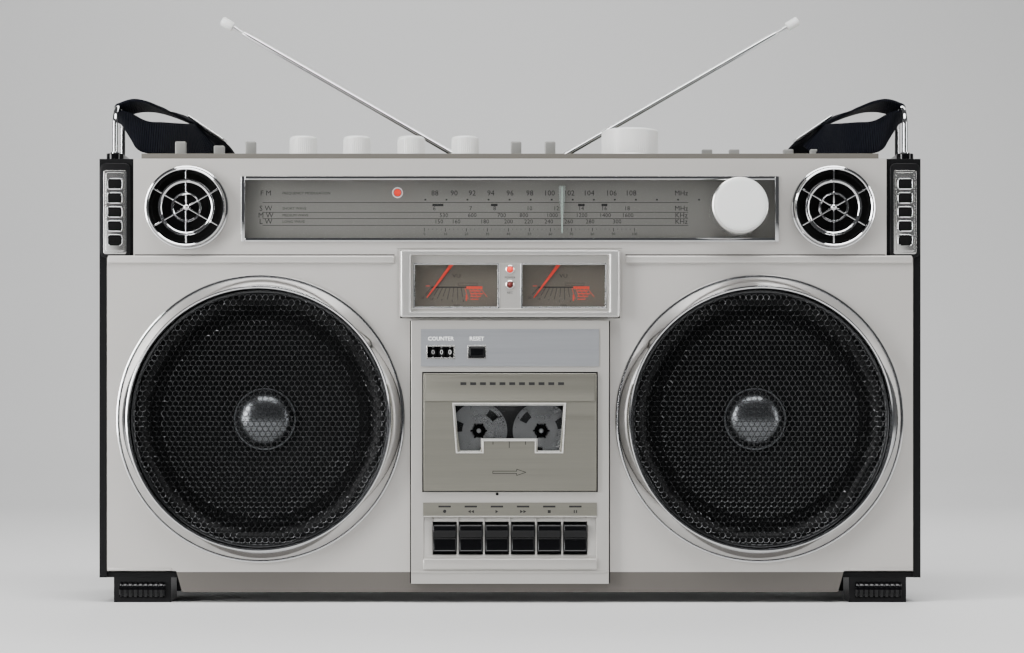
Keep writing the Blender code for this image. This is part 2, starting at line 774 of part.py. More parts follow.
def build_module():
    """Raised centre module with the door opening, key well, counter window and reset hole."""
    front = FACE - MODULE_PROUD
    module = block(
        "center_panel",
        (-MODULE_HALF, front, MODULE_BOTTOM),
        (MODULE_HALF, FACE + PANEL_THICK, MODULE_TOP - GAP),
        SILVER,
    )
    skin = MODULE_SKIN
    hollow = block(
        "module_hollow",
        (-MODULE_HALF + skin, front + skin, MODULE_BOTTOM + skin),
        (MODULE_HALF - skin, FACE + 0.02, MODULE_TOP - skin),
    )
    openings = []
    for name, x_low, z_low, x_high, z_high in (
        ("door_opening", -DOOR_HALF - RUN_GAP, DOOR_BOTTOM - RUN_GAP,
         DOOR_HALF + RUN_GAP, DOOR_TOP + RUN_GAP),
        ("key_well", -DOOR_HALF, WELL_BOTTOM, DOOR_HALF, WELL_TOP),
        ("counter_window", COUNTER_LEFT, COUNTER_BOTTOM, COUNTER_RIGHT, COUNTER_TOP),
        ("reset_hole", RESET_LEFT, COUNTER_BOTTOM, RESET_RIGHT, COUNTER_TOP),
    ):
        low = (x_low, front - REACH, z_low)
        high = (x_high, FACE + 0.02, z_high)
        openings.append(block(name, low, high))
    cut(module, hollow, *openings)

    block(
        "button_counter_reset",
        (RESET_LEFT + RUN_GAP, front - RESET_PROUD, COUNTER_BOTTOM + RUN_GAP),
        (RESET_RIGHT - RUN_GAP, front + RESET_INSIDE, COUNTER_TOP - RUN_GAP),
        GLOSS_BLACK,
    )
    drum_z = (COUNTER_BOTTOM + COUNTER_TOP) / 2
    axle = (COUNTER_X, front + skin + GAP + COUNTER_RADIUS, drum_z)
    rod("counter_wheel", axle, COUNTER_RADIUS, COUNTER_WIDTH, ALONG_X, WHITE, sides=20)


def build_cassette_door():
    """Drop-down door with its window, and the cassette and reels it carries."""
    front = FACE - DOOR_PROUD
    outline = rectangle(-DOOR_HALF, DOOR_BOTTOM, DOOR_HALF, DOOR_TOP)
    back = front + DOOR_THICK
    door = front_plate("cassette_door", [outline, DOOR_WINDOW], front, back, BRUSHED)
    hinge = Vector((0.0, front + DOOR_THICK / 2, DOOR_BOTTOM + HINGE_RISE))
    door.data.transform(Matrix.Translation((0.0, -hinge.z, 0.0)))
    door.location = hinge

    back = FACE + CASSETTE_FRONT + CASSETTE_THICK
    half = CASSETTE_WIDTH / 2
    shell = block(
        "cassette_shell",
        (-half, FACE + CASSETTE_FRONT, CASSETTE_BOTTOM),
        (half, back, CASSETTE_BOTTOM + CASSETTE_HEIGHT),
        GLOSS_BLACK,
        origin=hinge,
    )
    hub_z = CASSETTE_BOTTOM + HUB_HEIGHT
    room = REEL_RADIUS + REEL_ROOM
    wall = SHELL_BACK_WALL
    pocket = block(
        "reel_pocket",
        (-HUB_SPACING / 2 - room, FACE + CASSETTE_FRONT - REACH, hub_z - room),
        (HUB_SPACING / 2 + room, back - wall, hub_z + room),
    )
    cutters = [pocket]
    for side, word in ((-1, "left"), (1, "right")):
        x = side * HUB_SPACING / 2
        bore = rod(
            f"hub_bore_{word}",
            (x, back, hub_z),
            HUB_BORE + SHELL_BORE_PLAY,
            2 * REACH,
            FACING_FRONT,
            sides=20,
        )
        cutters.append(bore)
        reel_back = CASSETTE_FRONT + CASSETTE_THICK - wall - RUN_GAP
        reel_front = CASSETTE_FRONT + REEL_FACE
        reel = [
            (REEL_RADIUS, -reel_front),
            (REEL_RADIUS, -reel_front - REEL_DISC),
            (REEL_HUB, -reel_front - REEL_DISC),
            (REEL_HUB, -reel_back),
            (HUB_BORE, -reel_back),
            (HUB_BORE, -reel_front),
        ]
        origin = (x, FACE, hub_z)
        turned(f"cassette_reel_{word}", reel, origin, FACING_FRONT, BRUSHED, 32, closed=True)
        flange = SPINDLE_FLANGE
        plate_back = CHASSIS_DEPTH + CHASSIS_THICK + RUN_GAP
        spindle = [
            (0.0, -SPINDLE_TIP),
            (SPINDLE_RADIUS * 0.7, -SPINDLE_TIP),
            (SPINDLE_RADIUS, -SPINDLE_TIP - 0.0012),
            (SPINDLE_RADIUS, -plate_back),
            (flange, -plate_back),
            (flange, -plate_back - SPINDLE_FLANGE_THICK),
            (0.0, -plate_back - SPINDLE_FLANGE_THICK),
        ]
        turned(f"spindle_{word}", spindle, origin, FACING_FRONT, GLOSS_BLACK, 24)
    cut(shell, *cutters)


def build_chassis():
    """Tape deck plate with its motor, head block and spindle holes."""
    front = FACE + CHASSIS_DEPTH
    back = front + CHASSIS_THICK
    chassis = block(
        "tape_chassis",
        (-CHASSIS_HALF, front, CHASSIS_BOTTOM),
        (CHASSIS_HALF, back, CHASSIS_TOP),
        STEEL,
    )
    motor_x, motor_z = MOTOR_PLACE
    motor_place = (motor_x, front + MOTOR_LENGTH / 2, motor_z)
    motor = rod("motor", motor_place, MOTOR_RADIUS, MOTOR_LENGTH, FACING_FRONT, sides=28)
    head = block(
        "head",
        (-HEAD_HALF, FACE - OVERLAP, HEAD_BOTTOM),
        (HEAD_HALF, front + OVERLAP, HEAD_TOP),
    )
    join(chassis, motor, head)
    hub_z = CASSETTE_BOTTOM + HUB_HEIGHT
    holes = [
        rod(
            f"spindle_hole_{side}",
            (side * HUB_SPACING / 2, front, hub_z),
            SPINDLE_RADIUS + RUN_GAP,
            2 * REACH,
            FACING_FRONT,
            sides=20,
        )
        for side in (-1, 1)
    ]
    cut(chassis, *holes)


def build_keys():
    """Six piano keys that tip inwards about their back edge."""
    first = -(KEY_COUNT - 1) / 2 * KEY_PITCH
    for number, name in enumerate(KEY_NAMES):
        x = first + number * KEY_PITCH
        front = FACE - KEY_PROUD
        key = block(
            name,
            (x - KEY_WIDTH / 2, front, KEY_BOTTOM),
            (x + KEY_WIDTH / 2, FACE + KEY_INSIDE, KEY_TOP),
            GLOSS_BLACK,
            origin=(x, FACE + KEY_INSIDE - 0.001, KEY_BOTTOM + 0.002),
        )
        edge = key.modifiers.new("Edges", "BEVEL")
        edge.width = 0.0008
        edge.segments = 1


def build_antennas():
    """Swivel base, tilting tube and the rod that slides inside it, on each side."""
    pivot_z = CABINET_TOP + ANTENNA_PIVOT_RISE
    for side, word in ((-1, "left"), (1, "right")):
        x = side * ANTENNA_X
        y = FACE + ANTENNA_DEPTH
        slot = TUBE_RADIUS + RUN_GAP
        base = turned(
            f"antenna_base_{word}",
            [
                (0.0, ANTENNA_PIVOT_RISE + 0.003),
                (ANTENNA_BASE_RADIUS - 0.002, ANTENNA_PIVOT_RISE + 0.003),
                (ANTENNA_BASE_RADIUS, ANTENNA_PIVOT_RISE + 0.001),
                (ANTENNA_BASE_RADIUS, GAP),
                (0.0, GAP),
            ],
            (x, y, CABINET_TOP),
            UPRIGHT,
            BRIGHT,
            28,
        )
        fork = block(
            f"antenna_fork_{word}",
            (x - 0.02, y - slot, pivot_z - slot - 0.0012),
            (x + 0.02, y + slot, pivot_z + 0.02),
        )
        cut(base, fork)
        turn = (0.0, side * (pi / 2 - ANTENNA_TILT), 0.0)
        place_at = (x, y, pivot_z)
        tube_end = ANTENNA_LENGTH - CAP_LENGTH - 0.008
        tube = [
            (TUBE_RADIUS, tube_end),
            (TUBE_RADIUS, -TUBE_RADIUS * 0.9),
            (0.0, -TUBE_RADIUS * 0.9),
            (0.0, 0.010),
            (TUBE_BORE, 0.010),
            (TUBE_BORE, tube_end),
        ]
        turned(f"antenna_tube_{word}", tube, place_at, turn, BRIGHT, 16, closed=True)
        stem = ROD_RADIUS
        tip = [
            (0.0, ANTENNA_LENGTH),
            (CAP_RADIUS * 0.8, ANTENNA_LENGTH),
            (CAP_RADIUS, ANTENNA_LENGTH - 0.001),
            (CAP_RADIUS, ANTENNA_LENGTH - CAP_LENGTH),
            (stem, ANTENNA_LENGTH - CAP_LENGTH),
            (stem, 0.012),
            (0.0, 0.012),
        ]
        turned(f"antenna_tip_{word}", tip, place_at, turn, BRIGHT, 14)


def build_strap_posts():
    """Chrome loop, front leg to back leg, on a long rounded foot on each column."""
    for side, word in ((-1, "left"), (1, "right")):
        x = side * POST_X
        arch = POST_SPAN / 2
        y = FACE + POST_DEPTH
        spring = POST_HEIGHT - POST_ROD - arch
        path = [(0.0, -arch, GAP + 0.001)]
        path += [
            (0.0, -arch * cos(a), spring + arch * sin(a)) for a in (pi * i / 12 for i in range(13))
        ]
        path.append((0.0, arch, GAP + 0.001))
        curve = bpy.data.curves.new(f"post_loop_{word}", "CURVE")
        curve.dimensions = "3D"
        curve.bevel_depth = POST_ROD
        curve.bevel_resolution = 2
        curve.use_fill_caps = True
        spline = curve.splines.new("POLY")
        spline.points.add(len(path) - 1)
        for point, spot in zip(spline.points, path):
            point.co = (*spot, 1.0)
        loop = bpy.data.objects.new(f"post_loop_{word}", curve)
        place(loop, (x, y, CABINET_TOP), UPRIGHT, None)
        loop = as_mesh(loop)
        round_end = POST_FOOT_END
        foot_outline = [
            (round_end * cos(a), arch + round_end * sin(a)) for a in (pi * i / 8 for i in range(9))
        ]
        foot_outline += [(-px, -py) for px, py in foot_outline]
        foot = plate(
            f"strap_post_{word}",
            [foot_outline],
            POST_BASE_HEIGHT,
            (x, y, CABINET_TOP + GAP + POST_BASE_HEIGHT / 2),
            UPRIGHT,
            BRIGHT,
        )
        join(as_mesh(foot), loop)


def strap_path():
    """Centre points and width directions of half the strap, from a post to the middle."""
    back = BACK + STRAP_STANDOFF - STRAP_THICK / 2
    stations = [
        ((-POST_X + 0.006, FACE + POST_DEPTH, CABINET_TOP + 0.030), (0.0, 1.0, 0.0)),
        ((-POST_X + 0.0205, FACE + 0.039, CABINET_TOP + 0.0325), (0.1, 0.95, -0.2)),
        ((-POST_X + 0.0365, FACE + 0.048, CABINET_TOP + 0.0315), (0.5, 0.6, -0.5)),
        ((-POST_X + 0.0525, FACE + 0.066, CABINET_TOP + 0.0290), (0.8, 0.35, -0.5)),
        ((-POST_X + 0.0595, BACK - 0.055, CABINET_TOP + 0.0250), (0.9, 0.20, -0.35)),
        ((-POST_X + 0.0635, BACK - 0.030, CABINET_TOP + 0.0180), (1.0, 0.10, -0.15)),
        ((-POST_X + 0.0655, BACK - 0.009, CABINET_TOP + 0.0100), (1.0, 0.05, 0.0)),
        ((-POST_X + 0.0670, back - 0.0005, CABINET_TOP + 0.0005), (1.0, 0.0, 0.05)),
        ((-POST_X + 0.0685, back, CABINET_TOP - 0.018), (1.0, 0.0, 0.05)),
    ]
    reach = POST_X - 0.0685
    start = CABINET_TOP - 0.018
    count = 12
    for i in range(1, count + 1):
        turn = (pi / 2) * i / count
        x = -reach * cos(turn)
        z = start - STRAP_DROP * sin(turn)
        along = Vector((reach * sin(turn), 0.0, -STRAP_DROP * cos(turn))).normalized()
        stations.append(((x, back, z), (-along.z, 0.0, along.x)))
    return stations


def build_strap():
    """Flat webbing from post to post, hanging in a loop behind the cabinet."""
    stations = strap_path()
    shape = bmesh.new()
    bmesh.ops.create_grid(shape, x_segments=1, y_segments=len(stations) - 1, size=0.5)
    rows = {}
    for point in shape.verts:
        rows.setdefault(round(point.co.y, 5), []).append(point)
    for key, (centre, width) in zip(sorted(rows), stations):
        left, right = sorted(rows[key], key=lambda point: point.co.x)
        reach = Vector(width).normalized() * STRAP_WIDTH / 2
        left.co = Vector(centre) - reach
        right.co = Vector(centre) + reach
    mesh = bpy.data.meshes.new("strap")
    shape.to_mesh(mesh)
    shape.free()
    strap = place(bpy.data.objects.new("strap", mesh), (0.0, 0.0, 0.0), UPRIGHT, WEBBING)
    whole = strap.modifiers.new("Other half", "MIRROR")
    whole.use_axis = (True, False, False)
    whole.merge_threshold = 0.00005
    body = strap.modifiers.new("Webbing", "SOLIDIFY")
    body.thickness = STRAP_THICK
    body.offset = 0.0


build_front_panel()
build_cabinet()
build_deck()
build_speakers()
build_dial()
build_meters()
build_module()
build_cassette_door()
build_chassis()
build_keys()
build_antennas()
build_strap_posts()
build_strap()
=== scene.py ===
"""Looks of a portable stereo radio-cassette recorder: surfaces, fine shapes, lights and camera."""

import json
from math import cos, hypot, pi, radians, sin, sqrt

import bmesh
import bpy
from mathutils import Matrix, Vector

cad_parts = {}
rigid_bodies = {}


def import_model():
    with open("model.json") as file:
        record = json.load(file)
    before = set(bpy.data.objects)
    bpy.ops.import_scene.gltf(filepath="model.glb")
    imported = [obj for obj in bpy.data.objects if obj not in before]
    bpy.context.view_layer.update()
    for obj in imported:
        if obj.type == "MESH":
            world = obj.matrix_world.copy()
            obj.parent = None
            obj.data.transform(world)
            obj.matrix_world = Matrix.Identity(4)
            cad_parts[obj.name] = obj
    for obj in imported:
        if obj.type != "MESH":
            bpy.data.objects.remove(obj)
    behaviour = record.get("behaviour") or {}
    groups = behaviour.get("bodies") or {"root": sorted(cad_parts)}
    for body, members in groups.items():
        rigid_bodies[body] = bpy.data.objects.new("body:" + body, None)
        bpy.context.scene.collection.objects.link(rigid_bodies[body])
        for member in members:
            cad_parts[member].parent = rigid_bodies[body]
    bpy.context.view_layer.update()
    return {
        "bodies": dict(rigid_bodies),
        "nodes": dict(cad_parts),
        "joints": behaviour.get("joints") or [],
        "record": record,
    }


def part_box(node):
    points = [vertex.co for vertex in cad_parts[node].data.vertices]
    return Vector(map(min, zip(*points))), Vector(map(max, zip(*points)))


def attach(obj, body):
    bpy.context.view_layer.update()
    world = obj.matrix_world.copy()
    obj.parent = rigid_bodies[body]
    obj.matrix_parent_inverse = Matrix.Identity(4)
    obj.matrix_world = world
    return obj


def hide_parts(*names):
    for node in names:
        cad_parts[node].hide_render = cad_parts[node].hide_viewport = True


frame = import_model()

# ---- Places read from the frame ----
PANEL_LOW, PANEL_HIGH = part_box("front_panel")
FACE = PANEL_LOW.y
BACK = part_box("rear_cabinet")[1].y
SIDES = ((-1, "left"), (1, "right"))


def middle(node):
    low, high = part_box(node)
    return (low + high) / 2


# ---- Camera: square on, level, a little above the floor ----
CAMERA_DISTANCE = 1.5
CAMERA_HEIGHT = 0.1174
FRAME_WIDTH = 0.6963
FRAME_CENTRE = (0.00136, 0.1878)


def add_camera():
    data = bpy.data.cameras.new("camera")
    data.sensor_width = 36.0
    data.lens = data.sensor_width * CAMERA_DISTANCE / FRAME_WIDTH
    data.shift_x = FRAME_CENTRE[0] / FRAME_WIDTH
    data.shift_y = (FRAME_CENTRE[1] - CAMERA_HEIGHT) / FRAME_WIDTH
    data.clip_start = 0.05
    camera = bpy.data.objects.new("camera", data)
    camera.location = (0.0, FACE - CAMERA_DISTANCE, CAMERA_HEIGHT)
    camera.rotation_euler = (pi / 2, 0.0, 0.0)
    bpy.context.scene.collection.objects.link(camera)
    bpy.context.scene.camera = camera


add_camera()


# ---- Shader groups ----
def new_group(name, inputs, outputs):
    group = bpy.data.node_groups.new(name, "ShaderNodeTree")
    for label, kind, value in inputs:
        socket = group.interface.new_socket(label, in_out="INPUT", socket_type=kind)
        if value is not None:
            socket.default_value = value
    for label, kind in outputs:
        group.interface.new_socket(label, in_out="OUTPUT", socket_type=kind)
    entry = group.nodes.new("NodeGroupInput")
    leave = group.nodes.new("NodeGroupOutput")
    return group, entry, leave


def math_node(tree, operation, first, second, clamp=False):
    node = tree.nodes.new("ShaderNodeMath")
    node.operation = operation
    node.use_clamp = clamp
    for index, value in enumerate((first, second)):
        if isinstance(value, bpy.types.NodeSocket):
            tree.links.new(value, node.inputs[index])
        elif value is not None:
            node.inputs[index].default_value = value
    return node.outputs[0]


def noise_node(tree, vector, scale, detail=3.0, rough=0.5):
    node = tree.nodes.new("ShaderNodeTexNoise")
    node.inputs["Detail"].default_value = detail
    node.inputs["Roughness"].default_value = rough
    tree.links.new(vector, node.inputs["Vector"])
    if isinstance(scale, bpy.types.NodeSocket):
        tree.links.new(scale, node.inputs["Scale"])
    else:
        node.inputs["Scale"].default_value = scale
    return node.outputs["Fac"]


def shade_node(tree, colour, factor):
    """A colour made lighter or darker by a factor about one."""
    node = tree.nodes.new("ShaderNodeVectorMath")
    node.operation = "SCALE"
    tree.links.new(colour, node.inputs[0])
    tree.links.new(factor, node.inputs["Scale"])
    return node.outputs[0]


def make_surface_group():
    """Fine grain, soft clouding and a few smudges for moulded and painted parts."""
    group, entry, leave = new_group(
        "surface_wear",
        [
            ("Vector", "NodeSocketVector", None),
            ("Color", "NodeSocketColor", (0.5, 0.5, 0.5, 1.0)),
            ("Roughness", "NodeSocketFloat", 0.4),
            ("Clouding", "NodeSocketFloat", 0.05),
            ("Grain", "NodeSocketFloat", 0.04),
            ("Grain Scale", "NodeSocketFloat", 2500.0),
            ("Smudge", "NodeSocketFloat", 0.06),
        ],
        [
            ("Color", "NodeSocketColor"),
            ("Roughness", "NodeSocketFloat"),
            ("Height", "NodeSocketFloat"),
        ],
    )
    vector = entry.outputs["Vector"]
    clouds = noise_node(group, vector, 14.0, 4.0)
    grain = noise_node(group, vector, entry.outputs["Grain Scale"], 2.0)
    smears = noise_node(group, vector, 60.0, 5.0, 0.65)
    cloud_shift = math_node(group, "SUBTRACT", clouds, 0.5)
    cloud_shift = math_node(group, "MULTIPLY", cloud_shift, entry.outputs["Clouding"])
    grain_shift = math_node(group, "SUBTRACT", grain, 0.5)
    grain_shift = math_node(group, "MULTIPLY", grain_shift, entry.outputs["Grain"])
    factor = math_node(group, "ADD", cloud_shift, grain_shift)
    factor = math_node(group, "ADD", factor, 1.0)
    smear = math_node(group, "SUBTRACT", smears, 0.5)
    smear = math_node(group, "MULTIPLY", smear, entry.outputs["Smudge"])
    rough = math_node(group, "ADD", entry.outputs["Roughness"], smear)
    rough = math_node(group, "ADD", rough, grain_shift, clamp=True)
    group.links.new(shade_node(group, entry.outputs["Color"], factor), leave.inputs["Color"])
    group.links.new(rough, leave.inputs["Roughness"])
    group.links.new(grain, leave.inputs["Height"])
    return group


def make_brushed_group():
    """Long hairlines along local X once the vector is squeezed by its mapping."""
    group, entry, leave = new_group(
        "brushed_metal",
        [
            ("Vector", "NodeSocketVector", None),
            ("Color", "NodeSocketColor", (0.5, 0.5, 0.5, 1.0)),
            ("Roughness", "NodeSocketFloat", 0.3),
            ("Lines", "NodeSocketFloat", 0.3),
        ],
        [
            ("Color", "NodeSocketColor"),
            ("Roughness", "NodeSocketFloat"),
            ("Height", "NodeSocketFloat"),
        ],
    )
    vector = entry.outputs["Vector"]
    fine = noise_node(group, vector, 900.0, 3.0, 0.6)
    coarse = noise_node(group, vector, 220.0, 2.0, 0.5)
    both = math_node(group, "ADD", fine, coarse)
    shift = math_node(group, "SUBTRACT", both, 1.0)
    shift = math_node(group, "MULTIPLY", shift, entry.outputs["Lines"])
    factor = math_node(group, "ADD", shift, 1.0)
    rough = math_node(group, "ADD", entry.outputs["Roughness"], shift, clamp=True)
    group.links.new(shade_node(group, entry.outputs["Color"], factor), leave.inputs["Color"])
    group.links.new(rough, leave.inputs["Roughness"])
    group.links.new(fine, leave.inputs["Height"])
    return group


SURFACE = make_surface_group()
BRUSHED = make_brushed_group()


BUMP_DEPTH = 0.0002


def finish(name, colour, roughness, metallic=0.0, group=None, bump=0.1, stretch=(1, 1, 1),
           settings=(), shader_values=()):
    """A material: object coordinates through a shared effect into a Principled shader."""
    material = bpy.data.materials.new(name)
    material.use_nodes = True
    tree = material.node_tree
    shader = tree.nodes["Principled BSDF"]
    shader.inputs["Metallic"].default_value = metallic
    for label, value in shader_values:
        shader.inputs[label].default_value = value
    place = tree.nodes.new("ShaderNodeTexCoord")
    mapping = tree.nodes.new("ShaderNodeMapping")
    mapping.inputs["Scale"].default_value = stretch
    effect = tree.nodes.new("ShaderNodeGroup")
    effect.node_tree = group or SURFACE
    effect.inputs["Color"].default_value = (*colour, 1.0)
    effect.inputs["Roughness"].default_value = roughness
    for label, value in settings:
        effect.inputs[label].default_value = value
    raised = tree.nodes.new("ShaderNodeBump")
    raised.inputs["Strength"].default_value = bump
    raised.inputs["Distance"].default_value = BUMP_DEPTH
    tree.links.new(place.outputs["Object"], mapping.inputs["Vector"])
    tree.links.new(mapping.outputs["Vector"], effect.inputs["Vector"])
    tree.links.new(effect.outputs["Color"], shader.inputs["Base Color"])
    tree.links.new(effect.outputs["Roughness"], shader.inputs["Roughness"])
    tree.links.new(effect.outputs["Height"], raised.inputs["Height"])
    tree.links.new(raised.outputs["Normal"], shader.inputs["Normal"])
    return material


FINE_ALONG_X = (0.02, 1.0, 1.0)
SILVER = finish("silver_paint", (0.56, 0.54, 0.515), 0.38, 0.35,
                settings=(("Grain", 0.10), ("Grain Scale", 3500.0), ("Clouding", 0.04)), bump=0.03)
MODULE_SILVER = finish("module_silver_paint", (0.50, 0.485, 0.46), 0.34, 0.45,
                       settings=(("Grain", 0.08), ("Grain Scale", 3500.0)), bump=0.03)
APRON_GREY = finish("apron_grey_paint", (0.115, 0.105, 0.095), 0.45, 0.2,
                    settings=(("Grain", 0.08), ("Grain Scale", 3500.0)), bump=0.03)
CHROME = finish("bright_chrome", (0.64, 0.64, 0.645), 0.09, 1.0, bump=0.0,
                settings=(("Smudge", 0.05), ("Grain", 0.0)))
SATIN_CHROME = finish("satin_chrome", (0.58, 0.575, 0.56), 0.24, 1.0, bump=0.02,
                      settings=(("Smudge", 0.06), ("Grain", 0.03)))
BEZEL_SILVER = finish("bezel_silver", (0.60, 0.59, 0.57), 0.24, 0.6,
                      settings=(("Grain", 0.06), ("Grain Scale", 3500.0)), bump=0.02)
BLACK = finish("grained_black_plastic", (0.0045, 0.0045, 0.005), 0.40, bump=0.35,
               settings=(("Grain", 0.25), ("Grain Scale", 1400.0), ("Clouding", 0.2)),
               shader_values=(("Specular IOR Level", 0.18),))
INNER_BLACK = finish("inner_black", (0.003, 0.003, 0.003), 0.8, bump=0.1,
                     shader_values=(("Specular IOR Level", 0.1),))
GLOSS_BLACK = finish("gloss_black_plastic", (0.003, 0.003, 0.0035), 0.08, bump=0.02,
                     settings=(("Grain", 0.02), ("Smudge", 0.08)),
                     shader_values=(("Specular IOR Level", 0.3),))
GRILLE_BLACK = finish("grille_enamel", (0.06, 0.061, 0.063), 0.22, 0.85, bump=0.05,
                      settings=(("Grain", 0.1),))
DECK_GREY = finish("deck_grey_satin", (0.17, 0.16, 0.14), 0.42, 0.4, bump=0.05,
                   settings=(("Grain", 0.08), ("Clouding", 0.08)))
LEVER_GREY = finish("lever_grey", (0.27, 0.27, 0.255), 0.42, 0.4, bump=0.06,
                    settings=(("Grain", 0.08), ("Clouding", 0.1)))
WHITE = finish("white_satin_plastic", (0.84, 0.84, 0.82), 0.34, bump=0.03,
               settings=(("Grain", 0.02), ("Clouding", 0.03)),
               shader_values=(("Subsurface Weight", 0.05),))
DOOR_METAL = finish("brushed_door_metal", (0.225, 0.218, 0.185), 0.36, 0.6,
                    group=BRUSHED, bump=0.06,
                    stretch=FINE_ALONG_X, settings=(("Lines", 0.16),))
LABEL_METAL = finish("brushed_label_metal", (0.33, 0.34, 0.36), 0.38, 0.5,
                     group=BRUSHED, bump=0.05,
                     stretch=FINE_ALONG_X, settings=(("Lines", 0.14),))
STEEL = finish("zinc_steel", (0.45, 0.45, 0.46), 0.32, 1.0, bump=0.05,
               settings=(("Clouding", 0.2),))
DIAL_PAINT = finish("dial_paint", (0.20, 0.192, 0.178), 0.5, 0.2, bump=0.03,
                    settings=(("Grain", 0.06), ("Clouding", 0.05)))
METER_FACE = finish("meter_card", (0.13, 0.112, 0.092), 0.7, bump=0.03,
                    settings=(("Grain", 0.05),))
CONE_PAPER = finish("cone_paper", (0.005, 0.005, 0.0055), 0.75, bump=0.5,
                    settings=(("Grain", 0.4), ("Grain Scale", 900.0)),
                    shader_values=(("Specular IOR Level", 0.15),))
RUBBER = finish("surround_rubber", (0.006, 0.006, 0.0065), 0.55, bump=0.2,
                shader_values=(("Specular IOR Level", 0.2),))
DUST_CAP = finish("dust_cap_foil", (0.20, 0.21, 0.22), 0.24, 0.95, bump=0.03)
INK_BLACK = finish("black_ink", (0.006, 0.006, 0.006), 0.7, bump=0.0)
INK_WHITE = finish("white_ink", (0.93, 0.93, 0.92), 0.5, bump=0.0)
INK_GREY = finish("grey_ink", (0.22, 0.22, 0.22), 0.5, bump=0.0)
INK_RED = finish("red_ink", (0.75, 0.06, 0.03), 0.45, bump=0.0)
NEEDLE_RED = finish("needle_red", (0.80, 0.05, 0.03), 0.35, bump=0.0)
REEL_GREY = finish("reel_disc_grey", (0.24, 0.24, 0.245), 0.28, 0.85, bump=0.03)
TAPE_BROWN = finish("tape_brown", (0.035, 0.02, 0.014), 0.25, bump=0.05)
CLEAR = finish("clear_acrylic", (0.96, 0.97, 0.97), 0.05, bump=0.0,
               settings=(("Grain", 0.0), ("Smudge", 0.04), ("Clouding", 0.0)),
               shader_values=(("Transmission Weight", 1.0), ("IOR", 1.2)))
POINTER_CLEAR = finish("clear_pointer", (0.72, 0.76, 0.73), 0.12, bump=0.0,
                       shader_values=(("Transmission Weight", 0.75), ("IOR", 1.2)))
EDGE_WHITE = finish("bright_moulded_edge", (0.66, 0.65, 0.62), 0.28, 0.35,
                    bump=0.02)
INK_GREEN = finish("pale_green_ink", (0.42, 0.52, 0.46), 0.4, bump=0.0)
SHELL_DARK = finish("smoked_shell_plastic", (0.006, 0.006, 0.007), 0.4, bump=0.02,
                    settings=(("Clouding", 0.2),))
INNER_STEEL = finish("dark_chassis_steel", (0.10, 0.10, 0.105), 0.42, 0.8, bump=0.05,
                     settings=(("Clouding", 0.2),))
LAMP_RED = finish("lit_red_lens", (0.8, 0.03, 0.015), 0.2, bump=0.0,
                  shader_values=(("Emission Color", (1.0, 0.04, 0.02, 1.0)),
                                 ("Emission Strength", 0.7)))
LAMP_DARK = finish("unlit_red_lens", (0.16, 0.02, 0.018), 0.15, bump=0.0)


# ---- Making pieces ----
def mesh_of(shape, name, clean=True):
    """The finished mesh of a bmesh, by default merged and with its normals turned outward."""
    if clean:
        bmesh.ops.remove_doubles(shape, verts=shape.verts, dist=0.000002)
        bmesh.ops.recalc_face_normals(shape, faces=shape.faces)
    mesh = bpy.data.meshes.new(name)
    shape.to_mesh(mesh)
    shape.free()
    return mesh


def new_piece(name, shape, materials, body="root", node=None, smooth=35.0,
              clean=True):
    """An object at the origin that rides on a body, with its materials in order."""
    materials = materials if isinstance(materials, list) else [materials]
    mesh = mesh_of(shape, name, clean)
    piece = bpy.data.objects.new(name, mesh)
    bpy.context.scene.collection.objects.link(piece)
    for material in materials:
        mesh.materials.append(material)
    if smooth:
        mesh.shade_smooth()
        mesh.set_sharp_from_angle(angle=radians(smooth))
    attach(piece, body)
    if node:
        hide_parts(node)
    return piece


def copy_of_node(node):
    """A CAD node's shape with its doubles merged and its flat faces joined."""
    shape = bmesh.new()
    shape.from_mesh(frame["nodes"][node].data)
    bmesh.ops.remove_doubles(shape, verts=shape.verts, dist=0.00001)
    bmesh.ops.dissolve_limit(
        shape, angle_limit=radians(0.5), verts=shape.verts, edges=shape.edges
    )
    return shape


def soften(piece, width, segments=3, angle=30.0):
    bevel = piece.modifiers.new("Rounded edges", "BEVEL")
    bevel.width = width
    bevel.segments = segments
    bevel.limit_method = "ANGLE"
    bevel.angle_limit = radians(angle)
    return piece


def refined(node, materials, body="root", width=0.0006, segments=3, smooth=40.0):
    """A rounded-edge piece with a CAD node's own shape."""
    piece = new_piece(node + "_fine", copy_of_node(node), materials, body, node, smooth,
                      clean=False)
    return soften(piece, width, segments)


def round_edges(shape, edges, width, segments):
    return bmesh.ops.bevel(
        shape, geom=edges, offset=width, offset_type="OFFSET", segments=segments, profile=0.5,
        affect="EDGES", material=-1, clamp_overlap=True,
    )


def thicken(shape, faces, way, keep=True):
    """Extrudes faces, moves the copies, and gives the moved corners."""
    made = bmesh.ops.extrude_face_region(shape, geom=faces, use_keep_orig=keep)
    moved = [item for item in made["geom"] if isinstance(item, bmesh.types.BMVert)]
    bmesh.ops.translate(shape, vec=way, verts=moved)
    return moved


def carry(shape, matrix):
    bmesh.ops.transform(shape, matrix=matrix, verts=shape.verts)
    return shape


def merge_into(target, source):
    """Moves one bmesh's faces into another."""
    mesh = bpy.data.meshes.new("part")
    source.to_mesh(mesh)
    source.free()
    target.from_mesh(mesh)
    bpy.data.meshes.remove(mesh)


def box_into(shape, low, high, bevel=0.0, segments=2):
    """Adds a box with rounded edges to a bmesh."""
    low = Vector(low)
    high = Vector(high)
    size = Matrix.Diagonal((*(high - low), 1.0))
    made = bmesh.ops.create_cube(shape, size=1.0, matrix=Matrix.Translation((low + high) / 2) @ size)
    if bevel:
        edges = {edge for vert in made["verts"] for edge in vert.link_edges}
        round_edges(shape, list(edges), bevel, segments)
    return shape


